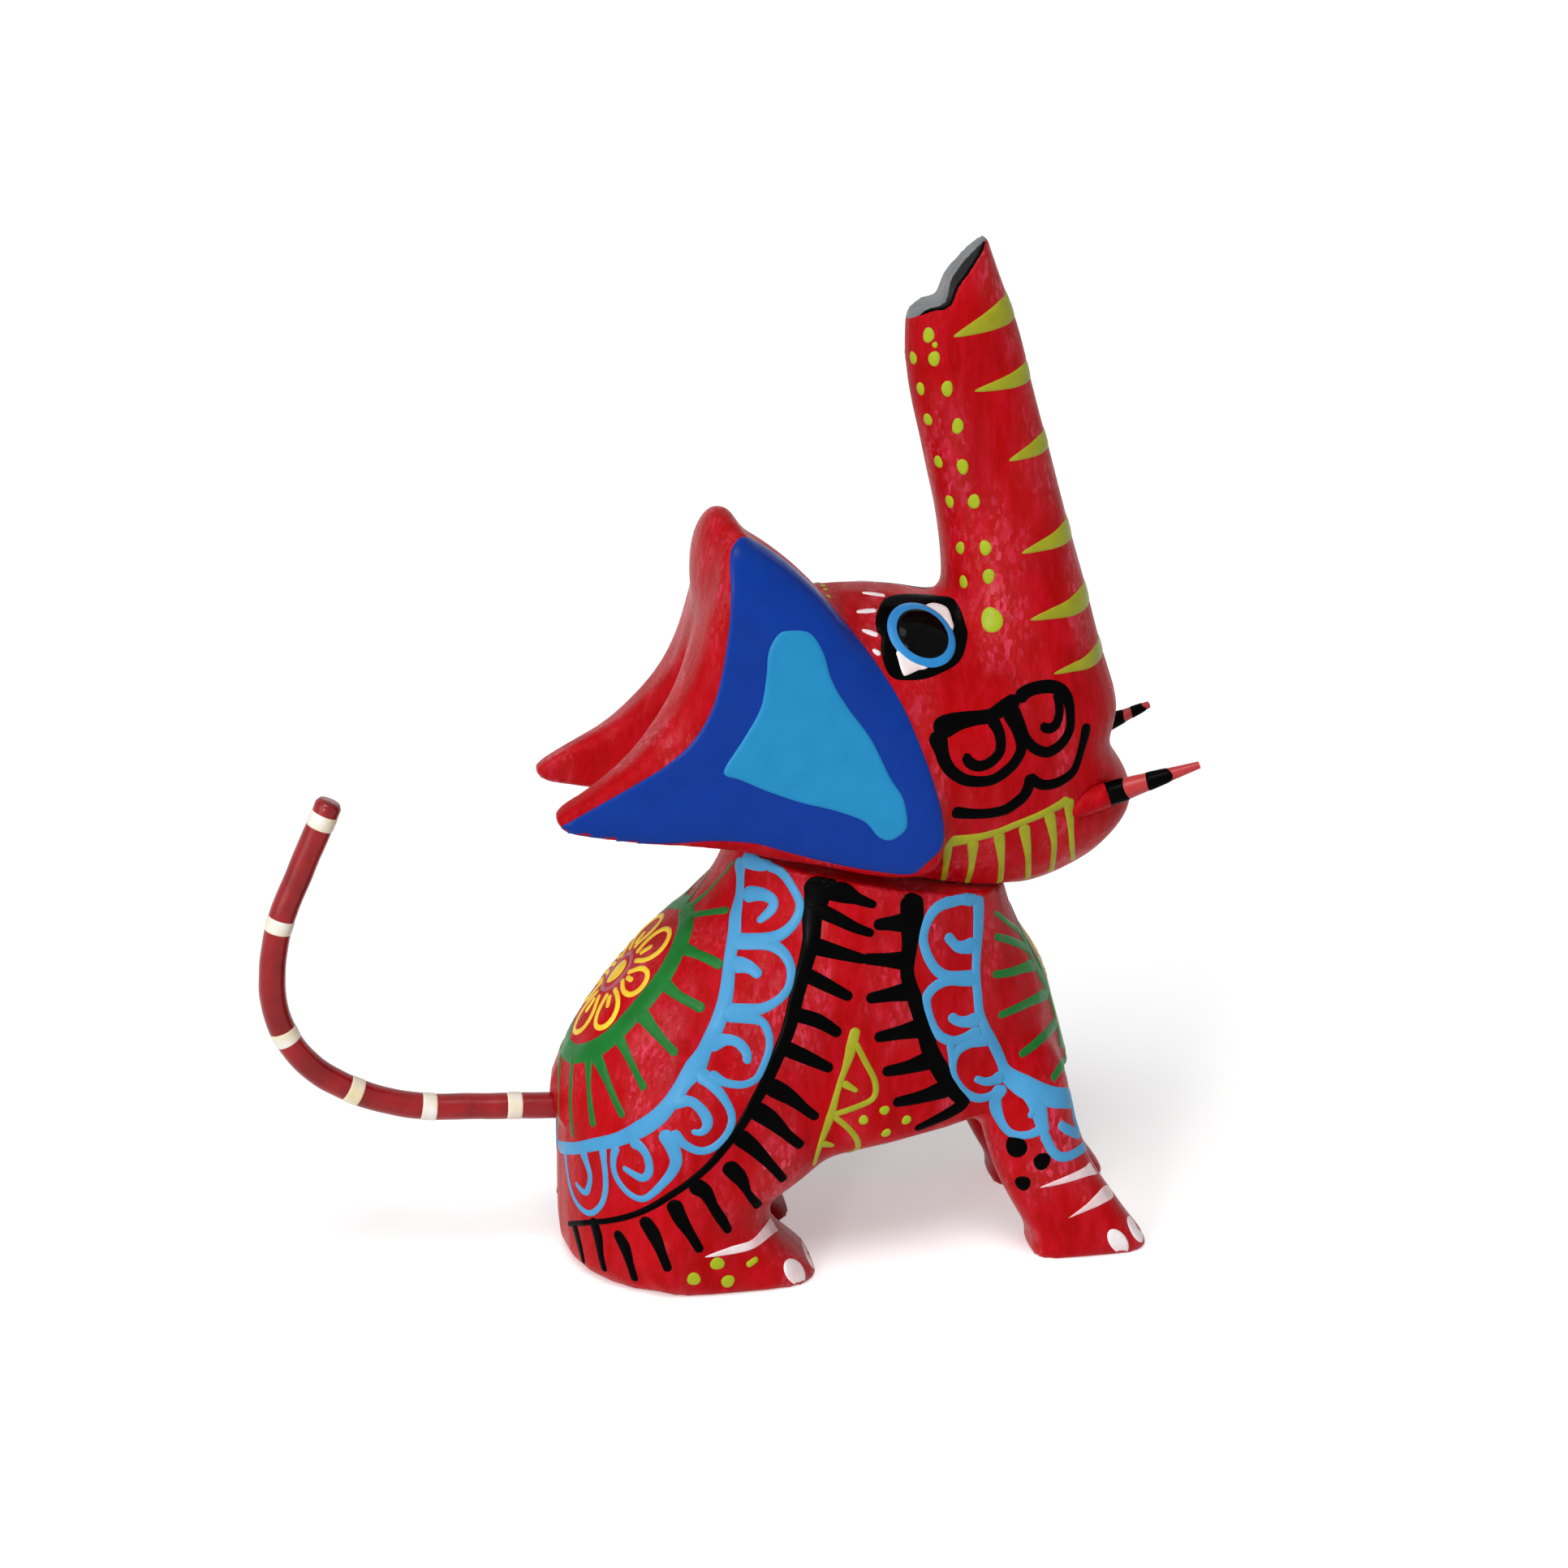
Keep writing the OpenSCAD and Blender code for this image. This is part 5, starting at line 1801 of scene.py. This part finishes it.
@dataclass
class Tail:
    """The bent rod of the tail, from its hole in the rump, with its painted rings."""

    diameter: float = 2.6
    plug: float = 6.5
    run: float = 10.9
    bends: tuple[Pair, ...] = ((22.0, 30.0), (12.0, 56.0), (22.0, 24.0))
    end: float = 10.4
    step: float = 0.4
    sides: int = 28
    tip_share: float = 0.8
    waver: float = 0.045
    waver_size: float = 2.2
    waver_reach: float = 1.5
    waver_sink: float = 0.35
    rings: tuple[float, ...] = (3.6, 11.8, 19.4, 28.6, 40.6, 51.9)
    ring_w: float = 1.5
    ring_up: float = 0.07
    ring_sink: float = 0.02
    ring_slope: float = 6.0
    ring_split: int = 4

    def route(self) -> list[tuple[Vector, Vector]]:
        """Follows the rod's middle from inside the rump.

        Returns:
            Places along it, each with its heading.
        """
        joint = next(j for j in frame["joints"] if j["name"] == "tail_turn")
        heading = Vector(joint["axis"]).normalized()
        place = Vector(joint["pos_m"]) - heading * self.plug * MM
        legs = [(self.plug + self.run, 0.0)]
        legs += [(math.radians(turn) * radius, math.radians(turn)) for radius, turn in self.bends]
        legs.append((self.end, 0.0))
        route = [(place.copy(), heading.copy())]
        for length, turn in legs:
            count = math.ceil(length / self.step)
            for _ in range(count):
                half = Matrix.Rotation(turn / count / 2, 3, "Y")
                heading = half @ heading
                place = place + heading * (length / count) * MM
                heading = half @ heading
                route.append((place.copy(), heading.copy()))
        return route

    def tube(self, route: Sequence[tuple[Vector, Vector]], radii: Sequence[float]) -> bpy.types.Mesh:
        """Makes a closed tube.

        Args:
            route: places along its middle with their headings.
            radii: its radius at each, in millimetres.

        Returns:
            Its mesh.
        """
        shape = bmesh.new()
        rows = []
        for (place, heading), radius in zip(route, radii):
            across = Vector((0.0, 1.0, 0.0))
            out = heading.cross(across).normalized()
            row = []
            for k in range(self.sides):
                turn = math.tau * k / self.sides
                spoke = across * math.cos(turn) + out * math.sin(turn)
                spot = (place + spoke * self.waver_reach * MM) / (self.waver_size * MM)
                dent = noise.noise(spot) - self.waver_sink
                row.append(shape.verts.new(place + spoke * (radius + self.waver * dent) * MM))
            rows.append(row)
        loft(shape, rows, capped=True)
        return finished(shape, "tail")

    def build(self) -> None:
        """Makes the rod and its rings."""
        route = self.route()
        half = self.diameter / 2
        radii = [half] * (len(route) - 1) + [half * self.tip_share]
        rod = link("tail_rod", self.tube(route, radii), Palette.TAIL)
        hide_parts("tail")
        pieces = [rod]
        for number, start in enumerate(self.rings, 1):
            first = round((self.plug + start) / self.step)
            count = round(self.ring_w / self.step) + 1
            part = self.finer(route[first:first + count])
            last = len(part) - 1
            rises = [min(1.0, self.ring_slope * min(i, last - i) / last) for i in range(last + 1)]
            swell = [half + self.ring_up * rise - self.ring_sink for rise in rises]
            pieces.append(link(f"tail_ring_{number}", self.tube(part, swell), Palette.CREAM))
        for piece in pieces:
            mount(piece, "tail")

    def finer(self, route: Sequence[tuple[Vector, Vector]]) -> list[tuple[Vector, Vector]]:
        """Splits each step of a route.

        Args:
            route: places with their headings.

        Returns:
            The route with more places.
        """
        made = []
        shares = [k / self.ring_split for k in range(self.ring_split)]
        for (a, u), (b, v) in zip(route, route[1:]):
            made += [(a.lerp(b, share), u.lerp(v, share).normalized()) for share in shares]
        return [*made, route[-1]]


@dataclass
class Tusks:
    """The two tusks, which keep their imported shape, with black bands and a collar of the head's paint."""

    root: Triple = (36.1, 7.8, 46.7)
    rise: float = 18.0
    splay: float = 8.0
    bands: tuple[Pair, ...] = ((-0.3, 1.6), (3.8, 6.1))
    left_bands: tuple[Pair, ...] = ((-0.3, 1.6), (3.8, 6.1), (7.0, 8.4))
    band_section: tuple[Pair, ...] = (
        (0.0, -0.03), (0.06, 0.7), (0.2, 1.0), (0.5, 1.0), (0.8, 1.0), (0.94, 0.7), (1.0, -0.03))
    band_sway: Pair = (0.14, 0.16)
    collar: tuple[Pair, ...] = (
        (-4.2, 1.0), (-4.0, 1.4), (-2.4, 1.32), (-1.0, 1.24), (-0.2, 1.18), (0.0, 1.0))
    shank: float = 1.5
    outside: float = 9.0
    radius: float = 1.1
    point: float = 0.35
    film: float = 0.05
    sides: int = 32

    def half_width(self, along: float) -> float:
        """Finds a tusk's radius.

        Args:
            along: distance from the cheek in millimetres.

        Returns:
            The radius there in millimetres.
        """
        if along < self.shank:
            return self.radius
        return self.radius + (self.point - self.radius) * (along - self.shank) / (self.outside - self.shank)

    def dress(self) -> None:
        """Paints both tusks."""
        for name, sign, bands in (("right", -1.0, self.bands), ("left", 1.0, self.left_bands)):
            cover(frame["nodes"]["tusk_" + name].data, Palette.TUSK)
            rise = math.radians(self.rise)
            splay = math.radians(self.splay) * sign
            level = math.cos(rise)
            axis = Vector((level * math.cos(splay), level * math.sin(splay), math.sin(rise)))
            root = Vector((self.root[0], self.root[1] * sign, self.root[2])) * MM
            painted = self.band_mesh(bands, root, axis, random.Random(name))
            rings = link(f"tusk_{name}_bands", painted, Palette.BLACK)
            collar = link(f"tusk_{name}_collar", self.collar_mesh(root, axis), Palette.RED_HEAD)
            mount(rings, "head")
            mount(collar, "head")

    def ring(self, shape: bmesh.types.BMesh, root: Vector, axis: Vector,
             reach: Callable[[float], Pair]) -> list[bmesh.types.BMVert]:
        """Adds a ring of corners round a tusk.

        Args:
            shape: the mesh to add to.
            root: where the tusk leaves the cheek.
            axis: the tusk's direction.
            reach: distance along the tusk and from its middle at an angle round it, in millimetres.

        Returns:
            The corners.
        """
        across = axis.cross(Vector((0.0, 0.0, 1.0))).normalized()
        up = across.cross(axis)
        corners = []
        for k in range(self.sides):
            turn = math.tau * k / self.sides
            along, out = reach(turn)
            spoke = across * math.cos(turn) + up * math.sin(turn)
            corners.append(shape.verts.new(root + (axis * along + spoke * out) * MM))
        return corners

    def collar_mesh(self, root: Vector, axis: Vector) -> bpy.types.Mesh:
        """Makes the collar where the head's paint runs up one tusk.

        Args:
            root: where the tusk leaves the cheek.
            axis: the tusk's direction.

        Returns:
            Its mesh.
        """
        shape = bmesh.new()
        rows = [self.ring(shape, root, axis, lambda turn, at=at: at) for at in self.collar]
        loft(shape, [*rows, rows[0]])
        return finished(shape, "tusk_collar")

    def band_mesh(self, bands: Sequence[Pair], root: Vector, axis: Vector,
                  chance: random.Random) -> bpy.types.Mesh:
        """Makes the bands of one tusk.

        Args:
            bands: where each starts and stops along the tusk, in millimetres.
            root: where the tusk leaves the cheek.
            axis: the tusk's direction.
            chance: source of the bands' unevenness.

        Returns:
            Their mesh.
        """
        shape = bmesh.new()
        for start, stop in bands:
            swing = [chance.uniform(0.0, math.tau) for _ in range(2)]
            rows = []
            for share, rise in self.band_section:
                def reach(turn: float) -> Pair:
                    """Finds a corner of the uneven band.

                    Args:
                        turn: angle round the tusk in radians.

                    Returns:
                        Its distance along the tusk and from the tusk's middle, in millimetres.
                    """
                    low = start + self.band_sway[0] * math.sin(turn + swing[0])
                    high = stop + self.band_sway[1] * math.sin(2 * turn + swing[1])
                    along = low + (high - low) * share
                    return along, self.half_width(along) + self.film * rise
                rows.append(self.ring(shape, root, axis, reach))
            loft(shape, [*rows, rows[0]])
        return finished(shape, "tusk_bands")


@dataclass(frozen=True)
class Lamp:
    """A soft distant lamp: its strength, its width in degrees, and the direction that it shines from."""

    name: str
    strength: float
    spread: float
    place: Triple

    def build(self) -> None:
        """Adds the lamp to the scene."""
        data = bpy.data.lights.new(self.name, "SUN")
        data.energy = self.strength
        data.angle = math.radians(self.spread)
        lamp = bpy.data.objects.new(self.name, data)
        lamp.location = self.place
        lamp.rotation_mode = "QUATERNION"
        lamp.rotation_quaternion = (-Vector(self.place)).to_track_quat("-Z", "Y")
        bpy.context.scene.collection.objects.link(lamp)


@dataclass
class Studio:
    """A white floor and soft light from the camera's left."""

    floor_half: float = 3.0
    floor_colour: Colour = (250, 250, 250)
    floor_cells: int = 8
    floor_roughness: float = 0.9
    floor_shine: float = 0.1
    floor_glow: float = 0.38
    sky_level: float = 0.16
    white: tuple[float, float, float, float] = (1.0, 1.0, 1.0, 1.0)
    lamps: tuple[Lamp, ...] = (
        Lamp("key", 1.5, 30.0, (-0.12, -0.42, 0.9)),
        Lamp("side", 1.25, 46.0, (-0.75, -0.58, 0.32)),
        Lamp("spark", 0.7, 8.0, (-0.5, -0.84, 0.2)))

    def build(self) -> None:
        """Makes the floor, the world and the lamps."""
        self.make_floor()
        self.make_world()
        for lamp in self.lamps:
            lamp.build()

    @staticmethod
    def shown(tree: bpy.types.NodeTree, lighting: float, seen: float) -> bpy.types.NodeSocket:
        """Adds a strength that differs between what lights the figure and what is seen.

        Args:
            tree: the node tree to add to.
            lighting: strength as light.
            seen: strength to the eye, in mirrors and through glass.

        Returns:
            The strength's socket.
        """
        path = tree.nodes.new("ShaderNodeLightPath")
        direct = path.outputs["Is Camera Ray"]
        for name in ("Is Glossy Ray", "Is Transmission Ray"):
            either = tree.nodes.new("ShaderNodeMath")
            either.operation = "MAXIMUM"
            tree.links.new(direct, either.inputs[0])
            tree.links.new(path.outputs[name], either.inputs[1])
            direct = either.outputs[0]
        strength = tree.nodes.new("ShaderNodeMapRange")
        strength.inputs["To Min"].default_value = lighting
        strength.inputs["To Max"].default_value = seen
        tree.links.new(direct, strength.inputs["Value"])
        return strength.outputs["Result"]

    def make_floor(self) -> None:
        """Makes the floor, which looks white to the eye and keeps the shadow."""
        shape = bmesh.new()
        cells = self.floor_cells
        bmesh.ops.create_grid(shape, x_segments=cells, y_segments=cells, size=self.floor_half)
        mesh = bpy.data.meshes.new("floor")
        shape.to_mesh(mesh)
        shape.free()
        w = Wiring("floor_white")
        w.set(Base_Color=linear(self.floor_colour), Roughness=self.floor_roughness,
              Specular_IOR_Level=self.floor_shine, Emission_Color=self.white)
        glow = self.shown(w.tree, 0.0, self.floor_glow)
        w.feed("Emission Strength", glow)
        mesh.materials.append(w.material)
        floor = bpy.data.objects.new("floor", mesh)
        bpy.context.scene.collection.objects.link(floor)

    def make_world(self) -> None:
        """Makes a plain sky all round, which looks white to the eye."""
        world = bpy.data.worlds.new("studio")
        world.use_nodes = True
        sky = world.node_tree.nodes["Background"]
        sky.inputs["Color"].default_value = self.white
        level = self.shown(world.node_tree, self.sky_level, 1.0)
        world.node_tree.links.new(level, sky.inputs["Strength"])
        bpy.context.scene.world = world


def dress_peg() -> None:
    """Gives the neck peg its bare wood."""
    cover(frame["nodes"]["neck_peg"].data, Palette.WOOD)
    LOG.info("neck_peg: keeps its packed shape, rides on torso")


def main() -> None:
    """Builds the figure and its studio."""
    logging.basicConfig(level=logging.INFO, format="%(message)s")
    bpy.context.scene.view_settings.view_transform = "Standard"
    VIEW.make_camera()
    Studio().build()
    body = CarvedBlock("body", "body_carving", "torso", "body_paint", Palette.RED_BODY).build()
    BodyPaint(body).dress()
    head = CarvedBlock("head", "head_carving", "head", "head_paint", Palette.RED_HEAD, voxel=0.3).build()
    HeadPaint(head).dress()
    dress_peg()
    Tusks().dress()
    Tail().build()


if __name__ == "__main__":
    main()
